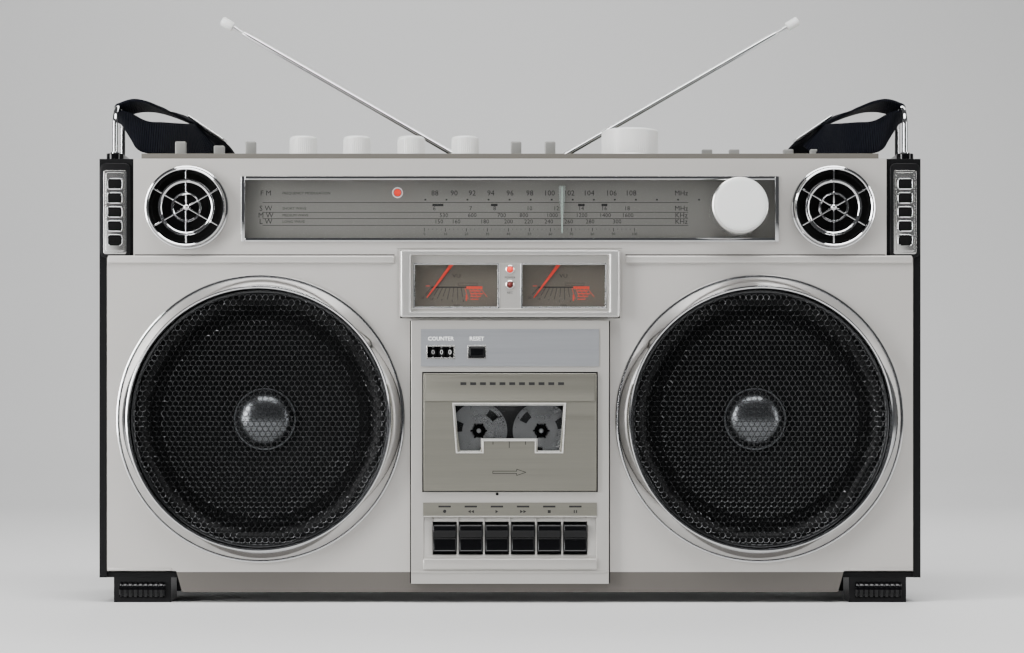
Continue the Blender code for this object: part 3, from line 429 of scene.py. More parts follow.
def turn_into(shape, profile, place, steps=64, closed=False, material=0):
    """Adds a turned form: (radius, height) points spun about local Z and set by a matrix."""
    verts = [shape.verts.new((radius, 0.0, height)) for radius, height in profile]
    edges = [shape.edges.new(pair) for pair in zip(verts, verts[1:])]
    if closed:
        edges.append(shape.edges.new((verts[-1], verts[0])))
    before = set(shape.faces)
    bmesh.ops.spin(
        shape, geom=verts + edges, cent=(0, 0, 0), axis=(0, 0, 1), dvec=(0, 0, 0),
        angle=2 * pi, steps=steps, use_merge=True, use_duplicate=False,
    )
    faces = [face for face in shape.faces if face not in before]
    turned = list({vert for face in faces for vert in face.verts})
    bmesh.ops.remove_doubles(shape, verts=turned, dist=0.000003)
    faces = [face for face in shape.faces if face not in before]
    turned = list({vert for face in faces for vert in face.verts})
    for face in faces:
        face.material_index = material
    bmesh.ops.transform(shape, matrix=place, verts=turned)
    return shape


def facing_front(x, y, z):
    """Local Z out of the front, at a place."""
    return Matrix.Translation((x, y, z)) @ Matrix.Rotation(pi / 2, 4, "X")


def standing(x, y, z):
    return Matrix.Translation((x, y, z))


def turned_piece(name, profile, place, materials, body="root", node=None, steps=64,
                 closed=False, smooth=35.0):
    shape = bmesh.new()
    turn_into(shape, profile, place, steps, closed)
    return new_piece(name, shape, materials, body, node, smooth)


def rod_into(shape, start, end, radius, sides=12, material=0):
    """Adds a straight round rod between two points."""
    start = Vector(start)
    end = Vector(end)
    axis = end - start
    turn = axis.to_track_quat("Z", "Y").to_matrix().to_4x4()
    place = Matrix.Translation((start + end) / 2) @ turn
    made = bmesh.ops.create_cone(
        shape, cap_ends=True, cap_tris=False, segments=sides, radius1=radius, radius2=radius,
        depth=axis.length, matrix=place,
    )
    for face in {face for vert in made["verts"] for face in vert.link_faces}:
        face.material_index = material
    return shape


def slab_into(shape, outline, y_front, y_back, bevel=0.0, segments=2, material=0):
    """Adds a plate with an outline in X and Z, from its front depth to its back depth."""
    verts = [shape.verts.new((x, y_front, z)) for x, z in outline]
    front = shape.faces.new(verts)
    both = set(verts) | set(thicken(shape, [front], (0.0, y_back - y_front, 0.0), keep=False))
    faces = {face for vert in both for face in vert.link_faces}
    if bevel:
        edges = list({edge for face in faces for edge in face.edges})
        rounded = round_edges(shape, edges, bevel, segments)
        faces = {face for face in faces if face.is_valid} | set(rounded["faces"])
    for face in faces:
        face.material_index = material
    return shape


def rounded_outline(x_low, z_low, x_high, z_high, radius, steps=5):
    """Corners of a rectangle drawn as arcs."""
    points = []
    for cx, cz, start in (
        (x_high - radius, z_high - radius, 0.0),
        (x_low + radius, z_high - radius, pi / 2),
        (x_low + radius, z_low + radius, pi),
        (x_high - radius, z_low + radius, 1.5 * pi),
    ):
        for i in range(steps + 1):
            a = start + (pi / 2) * i / steps
            points.append((cx + radius * cos(a), cz + radius * sin(a)))
    return points


# ---- Studio ----
SWEEP_LENGTH, SWEEP_FRONT, SWEEP_HALF = 8.0, 3.5, 7.0
SWEEP_DEPTH, SWEEP_CURVE = 1.9, 0.8
LIGHT_AIM = (0.0, 0.0, 0.16)
BACK_AIM = (0.0, 0.6, 0.0)
SOFTBOXES = (
    ("left_softbox", (-1.6, -1.0, 0.50), LIGHT_AIM, 0.6, 1.4, 50.0),
    ("right_softbox", (1.9, -0.9, 0.6), LIGHT_AIM, 0.4, 1.2, 15.0),
    ("top_softbox", (0.0, -0.9, 1.9), LIGHT_AIM, 1.8, 0.8, 46.0),
    ("back_softbox", (0.4, 1.5, 1.9), BACK_AIM, 2.2, 0.8, 30.0),
)


def build_stage():
    """A pale sweep: floor, curve and back wall in one sheet."""
    shape = bmesh.new()
    bmesh.ops.create_grid(shape, x_segments=1, y_segments=24, size=1.0)
    for vert in shape.verts:
        along = (vert.co.y + 1.0) / 2 * SWEEP_LENGTH - SWEEP_FRONT
        x = vert.co.x * SWEEP_HALF
        past = along - SWEEP_DEPTH
        if past < 0:
            vert.co = (x, along, 0.0)
        elif past < SWEEP_CURVE * pi / 2:
            a = past / SWEEP_CURVE
            vert.co = (x, SWEEP_DEPTH + SWEEP_CURVE * sin(a), SWEEP_CURVE * (1 - cos(a)))
        else:
            rise = SWEEP_CURVE + past - SWEEP_CURVE * pi / 2
            vert.co = (x, SWEEP_DEPTH + SWEEP_CURVE, rise)
    mesh = mesh_of(shape, "studio_sweep", clean=False)
    mesh.shade_smooth()
    sweep = bpy.data.objects.new("studio_sweep", mesh)
    bpy.context.scene.collection.objects.link(sweep)
    pale = bpy.data.materials.new("pale_paper")
    pale.use_nodes = True
    shader = pale.node_tree.nodes["Principled BSDF"]
    shader.inputs["Base Color"].default_value = (0.80, 0.80, 0.795, 1.0)
    shader.inputs["Roughness"].default_value = 0.6
    mesh.materials.append(pale)


def add_softbox(name, place, aim, width, height, power):
    data = bpy.data.lights.new(name, "AREA")
    data.shape = "RECTANGLE"
    data.size = width
    data.size_y = height
    data.energy = power
    lamp = bpy.data.objects.new(name, data)
    lamp.location = place
    lamp.rotation_euler = (Vector(aim) - Vector(place)).to_track_quat("-Z", "Y").to_euler()
    bpy.context.scene.collection.objects.link(lamp)


def build_lights():
    for softbox in SOFTBOXES:
        add_softbox(*softbox)
    world = bpy.data.worlds.new("studio")
    world.use_nodes = True
    background = world.node_tree.nodes["Background"]
    background.inputs["Color"].default_value = (0.78, 0.80, 0.83, 1.0)
    background.inputs["Strength"].default_value = 0.12
    bpy.context.scene.world = world


build_stage()
build_lights()


# ---- Front panel, cabinet and side trims ----
SHOULDER = 0.2358
APRON_TOP = 0.0216
MOULDING_INNER = 0.0785
APRON_LINE_INNER = 0.2300
GAP_WIDTH = 0.0010
LADDER_X, LADDER_BOTTOM = 0.2685, 0.2370
LADDER_WIDTH, LADDER_HEIGHT = 0.0156, 0.0570
LADDER_WINDOWS, LADDER_PITCH = 5, 0.00955
PANE_HALF = (0.0048, 0.00348)


def build_front_panel():
    """The silver front with rounded edges, its darker apron, the moulding across it, and black strips
    of painted shade in its gaps.
    """
    shape = copy_of_node("front_panel")
    bmesh.ops.bisect_plane(
        shape, geom=shape.verts[:] + shape.edges[:] + shape.faces[:],
        plane_co=(0, 0, APRON_TOP - 0.0007), plane_no=(0, 0, 1), dist=0.00001,
    )
    for face in shape.faces:
        face.material_index = 1 if face.calc_center_median().z < APRON_TOP - 0.0007 else 0
    panel = new_piece("front_panel_fine", shape, [SILVER, APRON_GREY], node="front_panel",
                      clean=False)
    soften(panel, 0.0007, 3)

    shape = bmesh.new()
    # Thin black strips beside the centre module and under the upper panel's edge are painted shade in
    # the gaps.
    shade_strips = bmesh.new()
    low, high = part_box("center_panel")
    for x0, x1 in ((low.x - GAP_WIDTH, low.x), (high.x, high.x + GAP_WIDTH)):
        box_into(shade_strips, (x0, FACE - 0.0002, low.z), (x1, FACE + 0.0004, high.z))
    edge = PANEL_HIGH.x - 0.0006
    for side in (-1, 1):
        low_x, high_x = sorted((side * MOULDING_INNER, side * edge))
        box_into(shape, (low_x, FACE - 0.0018, SHOULDER - 0.0050),
                 (high_x, FACE + 0.0004, SHOULDER + 0.0002), 0.0014, 4)
        low_x, high_x = sorted((side * MOULDING_INNER, side * 0.2552))
        box_into(shade_strips, (low_x, FACE - 0.0001, SHOULDER + 0.0003),
                 (high_x, FACE + 0.0004, SHOULDER + 0.0010))
    for side in (-1, 1):
        low_x, high_x = sorted((side * APRON_LINE_INNER, side * edge))
        box_into(shape, (low_x, FACE - 0.0010, APRON_TOP + 0.0004),
                 (high_x, FACE + 0.0006, APRON_TOP + 0.0022), 0.0005, 2)
    new_piece("panel_mouldings", shape, SILVER)
    new_piece("panel_gap_painted_shade", shade_strips, INNER_BLACK, smooth=0)


def build_cabinet():
    """Grained black cabinet, and the ladder trims on its two end columns."""
    cabinet = new_piece("rear_cabinet_fine", copy_of_node("rear_cabinet"), BLACK,
                        node="rear_cabinet", clean=False)
    soften(cabinet, 0.0022, 4, 40.0)

    front = FACE + 0.0010
    half, top = LADDER_WIDTH / 2, LADDER_BOTTOM + LADDER_HEIGHT
    first = LADDER_BOTTOM + LADDER_HEIGHT / 2 - (LADDER_WINDOWS - 1) / 2 * LADDER_PITCH
    wide, tall = PANE_HALF

    def upright(x, spread, low, high, radius):
        return rounded_outline(x - half + spread, low, x + half - spread, high, radius)

    for side, word in SIDES:
        x = side * LADDER_X
        trim, panes, rims, column = (bmesh.new() for _ in range(4))
        slab_into(trim, upright(x, 0.0, LADDER_BOTTOM, top, 0.0015), front - 0.0016,
                  front + 0.0006, 0.0004, 2)
        slab_into(trim, upright(x, 0.0016, LADDER_BOTTOM + 0.0016, top - 0.0016, 0.0012),
                  front - 0.0022, front - 0.0012, 0.0003, 2)
        for i in range(LADDER_WINDOWS):
            z = first + i * LADDER_PITCH
            pane = rounded_outline(x - wide, z - tall, x + wide, z + tall, 0.0015)
            slab_into(panes, pane, front - 0.0024, front - 0.0015, 0.0003, 2)
            around = rounded_outline(x - wide - 0.0001, z - tall - 0.0001, x + wide + 0.0001,
                                     z + tall + 0.0001, 0.0016)
            for (xa, za), (xb, zb) in loop_pairs(around):
                rod_into(rims, (xa, front - 0.0024, za), (xb, front - 0.0024, zb), 0.00036, 6)
        slab_into(column, upright(x, -0.0024, LADDER_BOTTOM - 0.0024, top + 0.0050, 0.0040),
                  FACE - 0.0004, FACE + 0.0016, 0.0009, 3)
        new_piece(f"ladder_trim_{word}", trim, SATIN_CHROME)
        new_piece(f"ladder_panes_{word}", panes, INNER_BLACK)
        new_piece(f"ladder_rims_{word}", rims, CHROME, smooth=60.0)
        new_piece(f"ladder_bed_{word}", column, BLACK)


def loop_pairs(points):
    """Each point of a closed outline with the one after it."""
    return zip(points, points[1:] + points[:1])


def screw_into(shape, x, y, z, radius=0.0035, outward=1.0):
    """A pan-head cross screw whose head faces +Y when outward is 1."""
    turn = Matrix.Rotation(-pi / 2 * outward, 4, "X")
    head = [
        (0.0, 0.0006), (radius * 0.25, 0.0006), (radius * 0.32, 0.0013), (radius * 0.75, 0.0011),
        (radius, 0.0002), (radius, -0.0006), (0.0, -0.0006),
    ]
    turn_into(shape, head, Matrix.Translation((x, y, z)) @ turn, 24)
    for angle in (0.0, pi / 2):
        arm = Matrix.Rotation(angle, 4, "Y")
        size = Matrix.Diagonal((radius * 1.1, 0.0006, radius * 0.2, 1.0))
        place = Matrix.Translation((x, y + 0.0012 * outward, z)) @ arm @ size
        bmesh.ops.create_cube(shape, size=1.0, matrix=place)


build_front_panel()
build_cabinet()


# ---- Loudspeakers ----
WOOFER = middle("woofer_ring_right")
WOOFER_RADIUS = (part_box("woofer_ring_right")[1].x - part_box("woofer_ring_right")[0].x) / 2
GRILLE_RADIUS = (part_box("woofer_grille_right")[1].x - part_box("woofer_grille_right")[0].x) / 2
HOLE_PITCH = 0.00395
HOLE_RADIUS = 0.00162
SHEET_THICK = 0.0007


def grille_height(radius):
    """How far the mesh stands forward of the panel face at a radius."""
    knots = (
        (0.0, 0.0070), (0.030, 0.0066), (0.055, 0.0052), (0.0665, 0.0036), (0.0690, 0.0008),
        (0.0735, 0.0002), (0.0765, 0.0030), (0.0795, 0.0066), (0.0822, 0.0080),
        (0.0850, 0.0070), (0.0880, 0.0048),
    )
    for (r0, h0), (r1, h1) in zip(knots, knots[1:]):
        if radius <= r1:
            t = (radius - r0) / (r1 - r0)
            t = t * t * (3 - 2 * t)
            return h0 + (h1 - h0) * t
    return knots[-1][1]


def perforated_sheet():
    """Hexagonal cells inside a circle, each with a round hole, and a wall behind each edge."""
    shape = bmesh.new()
    reach = GRILLE_RADIUS - 0.0010
    rows = int(reach / (HOLE_PITCH * sqrt(3) / 2)) + 1
    cell = HOLE_PITCH / sqrt(3)
    for row in range(-rows, rows + 1):
        y = row * HOLE_PITCH * sqrt(3) / 2
        shift = HOLE_PITCH / 2 if row % 2 else 0.0
        count = int(reach / HOLE_PITCH) + 2
        for column in range(-count, count + 1):
            x = column * HOLE_PITCH + shift
            if hypot(x, y) + cell * 0.8 < reach:
                place = Matrix.Translation((x, y, 0.0)) @ Matrix.Rotation(pi / 6, 4, "Z")
                bmesh.ops.create_circle(
                    shape, cap_ends=True, segments=6, radius=cell, matrix=place
                )
    bmesh.ops.remove_doubles(shape, verts=shape.verts, dist=0.00002)
    cells = list(shape.faces)
    bmesh.ops.inset_individual(
        shape, faces=cells, thickness=cell * cos(pi / 6) - HOLE_RADIUS * 1.02, depth=0.0,
        use_even_offset=True,
    )
    corners = list({vert for face in cells for vert in face.verts})
    bmesh.ops.delete(shape, geom=cells, context="FACES_ONLY")
    rounded = bmesh.ops.bevel(
        shape, geom=corners, offset=HOLE_RADIUS * 0.30, offset_type="OFFSET", segments=1,
        profile=0.5, affect="VERTICES", material=-1,
    )
    for vert in rounded["verts"]:
        vert.co.z -= 0.00028
    for face in shape.faces:
        if face.normal.z < 0:
            face.normal_flip()
    thicken(shape, shape.faces[:], (0, 0, -SHEET_THICK))
    for vert in shape.verts:
        vert.co.z += grille_height(hypot(vert.co.x, vert.co.y))
    return shape


def build_woofer(side, word):
    x = side * abs(WOOFER.x)
    place = facing_front(x, FACE, WOOFER.z)
    outer = WOOFER_RADIUS
    mouth = GRILLE_RADIUS + 0.0003
    ring = [
        (outer, 0.0003), (outer, 0.0020), (outer - 0.0004, 0.0026), (outer - 0.0009, 0.0028),
        (outer - 0.0013, 0.0024), (outer - 0.0014, 0.0022), (outer - 0.0018, 0.0030),
        (mouth + 0.0022, 0.0128), (mouth + 0.0018, 0.0133), (mouth + 0.0012, 0.0135),
        (mouth + 0.0004, 0.0132),
        (mouth, 0.0126), (mouth, -0.0028), (mouth + 0.0014, -0.0028), (mouth + 0.0014, 0.0003),
    ]
    turned_piece(f"woofer_ring_{word}_fine", ring, place, CHROME, node=f"woofer_ring_{word}",
                 steps=128, closed=True, smooth=24.0)

    sheet = perforated_sheet()
    rim = [
        (GRILLE_RADIUS - 0.0018, 0.0058), (GRILLE_RADIUS - 0.0008, 0.0062),
        (GRILLE_RADIUS - 0.0001, 0.0058), (GRILLE_RADIUS - 0.0001, 0.0036),
        (GRILLE_RADIUS - 0.0028, 0.0036), (GRILLE_RADIUS - 0.0028, 0.0050),
    ]
    turn_into(sheet, rim, Matrix.Identity(4), 96, closed=True)
    carry(sheet, place)
    new_piece(f"woofer_grille_{word}_fine", sheet, GRILLE_BLACK, node=f"woofer_grille_{word}",
              smooth=80.0, clean=False)

    back = -0.0033
    basket = [
        (0.0705, back - 0.0060), (0.0780, back + 0.0001), (0.0880, back + 0.0001),
        (0.0933, back + 0.0001), (0.0933, back - 0.0028), (0.0760, back - 0.0085),
        (0.0450, back - 0.0360), (0.0400, back - 0.0400), (0.0400, back - 0.0560),
        (0.0380, back - 0.0585), (0.0330, back - 0.0590), (0.0330, back - 0.0618),
        (0.0000, back - 0.0618),
    ]
    shape = bmesh.new()
    turn_into(shape, basket, place, 64, material=0)
    surround = [
        (0.0885, back + 0.0012), (0.0858, back + 0.0038), (0.0828, back + 0.0048),
        (0.0798, back + 0.0040), (0.0772, back + 0.0012), (0.0750, back - 0.0004),
    ]
    turn_into(shape, surround, place, 64, material=1)
    cone = [(0.0752, back - 0.0003)]
    ribs = 30
    for i in range(1, ribs + 1):
        t = i / ribs
        r = 0.0752 - (0.0752 - 0.0215) * t
        ripple = 0.00035 * sin(t * pi * 14)
        cone.append((r, back - 0.0235 * t ** 0.92 + ripple))
    turn_into(shape, cone, place, 64, material=2)
    cap = [(0.0218, back - 0.0236), (0.0215, back - 0.0222)]
    cap += [
        (0.0205 * cos(a), back - 0.0222 + 0.0115 * sin(a))
        for a in (pi / 2 * i / 8 for i in range(9))
    ]
    turn_into(shape, cap, place, 48, material=3)
    new_piece(f"woofer_driver_{word}_fine", shape, [STEEL, RUBBER, CONE_PAPER, DUST_CAP],
              node=f"woofer_driver_{word}", smooth=50.0)


for speaker in SIDES:
    build_woofer(*speaker)


# ---- Tweeters ----
SPOKES = 6


def build_tweeter(side, word):
    node = f"tweeter_{word}"
    centre = middle(node)
    low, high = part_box(node)
    outer = (high.x - low.x) / 2
    proud = FACE - low.y
    place = facing_front(centre.x, FACE, centre.z)

    body = bmesh.new()
    cup = [
        (outer - 0.0050, -0.0002), (outer - 0.0050, -0.0130), (0.0, -0.0135),
        (0.0, -0.0070), (0.0095, -0.0070), (0.0190, -0.0045), (0.0232, 0.0010),
        (0.0236, 0.0040), (outer - 0.0030, 0.0040), (outer - 0.0030, -0.0002),
    ]
    turn_into(body, cup, place, 64, closed=True)
    new_piece(f"tweeter_{word}_cup", body, INNER_BLACK, node=node)

    rings = bmesh.new()
    outer_ring = [
        (outer, 0.0002), (outer, 0.0032), (outer - 0.0003, 0.0040), (outer - 0.0009, 0.0043),
        (outer - 0.0013, 0.0041), (outer - 0.0014, 0.0046), (outer - 0.0016, 0.0064),
        (outer - 0.0020, proud - 0.0004), (outer - 0.0026, proud), (outer - 0.0032, proud - 0.0004),
        (outer - 0.0036, proud - 0.0014), (0.0242, 0.0040), (0.0240, 0.0002),
    ]
    turn_into(rings, outer_ring, place, 96, closed=True)
    middle_ring = [
        (0.0194, 0.0048), (0.0193, 0.0060), (0.0188, 0.0067), (0.0182, 0.0067), (0.0178, 0.0062),
        (0.0172, 0.0060), (0.0167, 0.0055), (0.0166, 0.0046),
    ]
    turn_into(rings, middle_ring, place, 64, closed=True)
    inner_ring = [
        (0.0105, 0.0050), (0.0104, 0.0062), (0.0100, 0.0068), (0.0094, 0.0068), (0.0090, 0.0063),
        (0.0086, 0.0058), (0.0085, 0.0048),
    ]
    turn_into(rings, inner_ring, place, 48, closed=True)
    bullet = [
        (0.0, 0.0072), (0.0010, 0.0070), (0.0020, 0.0063), (0.0028, 0.0050), (0.0030, 0.0030),
        (0.0030, -0.0060), (0.0, -0.0060),
    ]
    turn_into(rings, bullet, place, 32)
    new_piece(f"tweeter_{word}_rings", rings, CHROME, smooth=28.0)

    spokes = bmesh.new()
    for i in range(SPOKES):
        a = radians(30 + 360 / SPOKES * i)
        arm = bmesh.new()
        box_into(arm, (0.0025, 0.0042, -0.0006), (0.0245, 0.0058, 0.0006), 0.0004, 2)
        turn = Matrix.Translation((centre.x, FACE, centre.z)) @ Matrix.Rotation(a, 4, "Y")
        merge_into(spokes, carry(arm, turn @ Matrix.Translation((0, -0.0100, 0))))
    new_piece(f"tweeter_{word}_spokes", spokes, CHROME)


for speaker in SIDES:
    build_tweeter(*speaker)


# ---- Lettering made into flat meshes ----
INK_DEPTH = 0.00004


def text_shape(words, size, align="CENTER", bold=0.0):
    """A line of generic lettering as a thin bmesh in its own X and Y, centred on its height."""
    curve = bpy.data.curves.new("lettering", "FONT")
    curve.body = words
    curve.size = size
    curve.align_x = align
    curve.align_y = "CENTER"
    curve.resolution_u = 2
    curve.offset = bold
    holder = bpy.data.objects.new("lettering", curve)
    mesh = bpy.data.meshes.new_from_object(holder)
    bpy.data.objects.remove(holder)
    bpy.data.curves.remove(curve)
    shape = bmesh.new()
    shape.from_mesh(mesh)
    bpy.data.meshes.remove(mesh)
    thicken(shape, shape.faces[:], (0, 0, INK_DEPTH))
    return shape


def print_words(target, words, x, z, y, size, align="CENTER", wide=1.0, bold=0.0):
    """Adds lettering to a bmesh on an upright surface at depth y."""
    shape = text_shape(words, size, align, bold=bold)
    merge_into(target, carry(shape, facing_front(x, y, z) @ Matrix.Diagonal((wide, 1, 1, 1))))


def print_bar(target, x0, z0, x1, z1, y, thick=0.00005):
    """A printed bar between two corners on an upright surface."""
    low = (min(x0, x1), y - thick, min(z0, z1))
    high = (max(x0, x1), y, max(z0, z1))
    box_into(target, low, high)


# ---- Tuning dial ----
DIAL_LOW, DIAL_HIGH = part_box("dial_window")
DIAL_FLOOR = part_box("dial_pointer")[1].y + 0.0014
FM_MARKS = (
    ("88", -0.0513), ("90", -0.0382), ("92", -0.0258), ("94", -0.0131), ("96", 0.0), ("98", 0.0135),
    ("100", 0.0269), ("102", 0.0404), ("104", 0.0539), ("106", 0.0692), ("108", 0.0826),
)
SW_MARKS = (
    ("6", -0.0517), ("7", -0.0269), ("8", -0.0105), ("10", 0.0133), ("12", 0.0316), ("14", 0.0486),
    ("16", 0.0643), ("18", 0.0800),
)
MW_MARKS = (
    ("530", -0.0452), ("600", -0.0258), ("700", -0.0057), ("800", 0.0095), ("1000", 0.0288),
    ("1200", 0.0489), ("1400", 0.0650), ("1600", 0.0804),
)
LW_MARKS = (
    ("150", -0.0486), ("160", -0.0368), ("180", -0.0173), ("200", -0.0010), ("220", 0.0127),
    ("240", 0.0265), ("260", 0.0401), ("280", 0.0547), ("300", 0.0731),
)


def build_dial():
    low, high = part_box("dial_scale")
    tray = bmesh.new()
    box_into(tray, (low.x, DIAL_FLOOR, low.z), (high.x, DIAL_FLOOR + 0.0015, high.z))
    wall = 0.0026
    front = low.y
    for x0, x1, z0, z1 in (
        (low.x, low.x + wall, low.z, high.z), (high.x - wall, high.x, low.z, high.z),
        (low.x + wall, high.x - wall, low.z, low.z + wall),
        (low.x + wall, high.x - wall, high.z - wall, high.z),
    ):
        box_into(tray, (x0, front, z0), (x1, DIAL_FLOOR, z1))
    new_piece("dial_scale_fine", tray, DIAL_PAINT, node="dial_scale", smooth=0)

    frame_shape = bmesh.new()
    x_in = DIAL_HIGH.x - 0.0005
    z_low, z_high = DIAL_LOW.z + 0.0005, DIAL_HIGH.z - 0.0005
    border = 0.0026
    for x0, x1, z0, z1 in (
        (-x_in - border, -x_in, z_low - border, z_high + border),
        (x_in, x_in + border, z_low - border, z_high + border),
        (-x_in, x_in, z_low - border, z_low), (-x_in, x_in, z_high, z_high + border),
    ):
        box_into(frame_shape, (x0, FACE - 0.0014, z0), (x1, FACE + 0.0004, z1), 0.0005, 2)
    new_piece("dial_frame", frame_shape, CHROME)

    y = DIAL_FLOOR - 0.00002
    ink = bmesh.new()
    rows = {"FM": 0.2791, "dots": 0.2747, "SW": 0.2687, "MW": 0.2640, "LW": 0.2597}
    left, right = -0.1690, 0.1218
    for z in (0.2728, 0.2661, 0.2618, 0.2572):
        print_bar(ink, left, z - 0.00018, right, z + 0.00018, y)
    for band, marks, z, size in (
        ("FM", FM_MARKS, rows["FM"], 0.0051), ("SW", SW_MARKS, rows["SW"], 0.0040),
        ("MW", MW_MARKS, rows["MW"], 0.0040), ("LW", LW_MARKS, rows["LW"], 0.0040),
    ):
        for words, x in marks:
            print_words(ink, words, x, z, y, size)
        print_words(ink, " ".join(band), -0.1668, z, y, 0.0050)
        unit = "MHz" if band in ("FM", "SW") else "KHz"
        print_words(ink, unit, 0.1170, z, y, 0.0048)
    for i in range(16):
        x = -0.0578 + i * 0.01438
        print_bar(ink, x - 0.0006, rows["dots"] - 0.0005, x + 0.0006, rows["dots"] + 0.0005, y)
    for x0, x1 in ((-0.0530, -0.0455), (-0.0130, -0.0085), (0.0465, 0.0510), (0.0625, 0.0665)):
        print_bar(ink, x0, 0.2703, x1, 0.2719, y)
    for i in range(11):
        x = -0.0585 + i * 0.01435
        print_bar(ink, x - 0.0002, 0.2530, x + 0.0002, 0.2554, y)
        print_words(ink, str(i * 10), x, 0.2512, y, 0.0026)
    for i in range(50):
        x = -0.0585 + i * 0.00287
        if i % 5:
            print_bar(ink, x - 0.0001, 0.2540, x + 0.0001, 0.2550, y)
    for words, z in (
        ("FREQUENCY MODULATION", rows["FM"]), ("SHORT WAVE", rows["SW"]),
        ("MEDIUM WAVE", rows["MW"]), ("LONG WAVE", rows["LW"]),
    ):
        print_words(ink, words, -0.1555, z, y, 0.0026, align="LEFT")
    new_piece("dial_print", ink, INK_BLACK, smooth=0)

    lamp = Vector((-0.0768, FACE, 0.2795))
    white = bmesh.new()
    ring = [(0.0037, 0.0), (0.0037, 0.0006), (0.0029, 0.0006), (0.0029, 0.0)]
    turn_into(white, ring, facing_front(lamp.x, DIAL_FLOOR, lamp.z), 32, closed=True)
    new_piece("stereo_lamp_ring", white, INK_WHITE)
    bulb = [
        (0.0, 0.0032), (0.0010, 0.0030), (0.0019, 0.0022), (0.0023, 0.0010), (0.0023, -0.0010),
        (0.0, -0.0010),
    ]
    turned_piece("stereo_lamp", bulb, facing_front(lamp.x, DIAL_FLOOR, lamp.z), LAMP_RED, steps=24)

    refined("dial_window", CLEAR, width=0.0003, segments=1)

    point_low, point_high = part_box("dial_pointer")
    x = (point_low.x + point_high.x) / 2
    needle = bmesh.new()
    outline = [
        (x - 0.0023, point_high.z), (x - 0.0023, point_high.z - 0.0060),
        (x - 0.00065, point_high.z - 0.0240), (x - 0.00065, point_low.z),
        (x + 0.00065, point_low.z), (x + 0.00065, point_high.z - 0.0240),
        (x + 0.0023, point_high.z - 0.0060), (x + 0.0023, point_high.z),
    ]
    slab_into(needle, outline, point_low.y, point_high.y, 0.0003, 2)
    new_piece("dial_pointer_fine", needle, POINTER_CLEAR, body="dial_pointer", node="dial_pointer")
    line = bmesh.new()
    box_into(line, (x - 0.00035, point_low.y - 0.00006, point_low.z + 0.0010),
             (x + 0.00035, point_low.y - 0.00001, point_high.z - 0.0010))
    new_piece("dial_pointer_line", line, INK_GREEN, body="dial_pointer", smooth=0)

    centre = middle("tuning_knob")
    low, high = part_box("tuning_knob")
    radius = (high.x - low.x) / 2
    reach = FACE - low.y
    place = facing_front(centre.x, FACE, centre.z)
    skirt = [
        (radius - 0.0004, 0.0022), (radius, 0.0028), (radius, 0.0190), (radius - 0.0003, 0.0200),
        (radius - 0.0010, 0.0204), (radius - 0.0022, 0.0200), (radius - 0.0022, 0.0022),
    ]
    shape = bmesh.new()
    turn_into(shape, skirt, place, 96, closed=True, material=0)
    cap = [
        (radius - 0.0012, 0.0195), (radius - 0.0010, 0.0250), (radius - 0.0014, 0.0262),
        (radius - 0.0024, reach - 0.0002), (radius - 0.0040, reach), (0.0, reach - 0.0003),
        (0.0, 0.0100), (radius - 0.0012, 0.0100),
    ]
    turn_into(shape, cap, place, 96, closed=True, material=1)
    ribs = 72
    for i in range(ribs):
        a = 2 * pi * i / ribs
        px, pz = centre.x + (radius - 0.0001) * cos(a), centre.z + (radius - 0.0001) * sin(a)
        rod_into(shape, (px, FACE - 0.0045, pz), (px, FACE - 0.0185, pz), 0.00032, 6, material=0)
    shaft = [(0.0035, -0.0130), (0.0035, 0.0110), (0.0, 0.0110), (0.0, -0.0130)]
    turn_into(shape, shaft, place, 24, closed=True, material=2)
    new_piece("tuning_knob_fine", shape, [SATIN_CHROME, WHITE, STEEL], body="tuning_knob",
              node="tuning_knob")


build_dial()


# ---- Level meters ----
METER_WIDTH = 0.0289
METER_CENTRES = (-0.0364, 0.0364)
METER_CARD = FACE + 0.0014


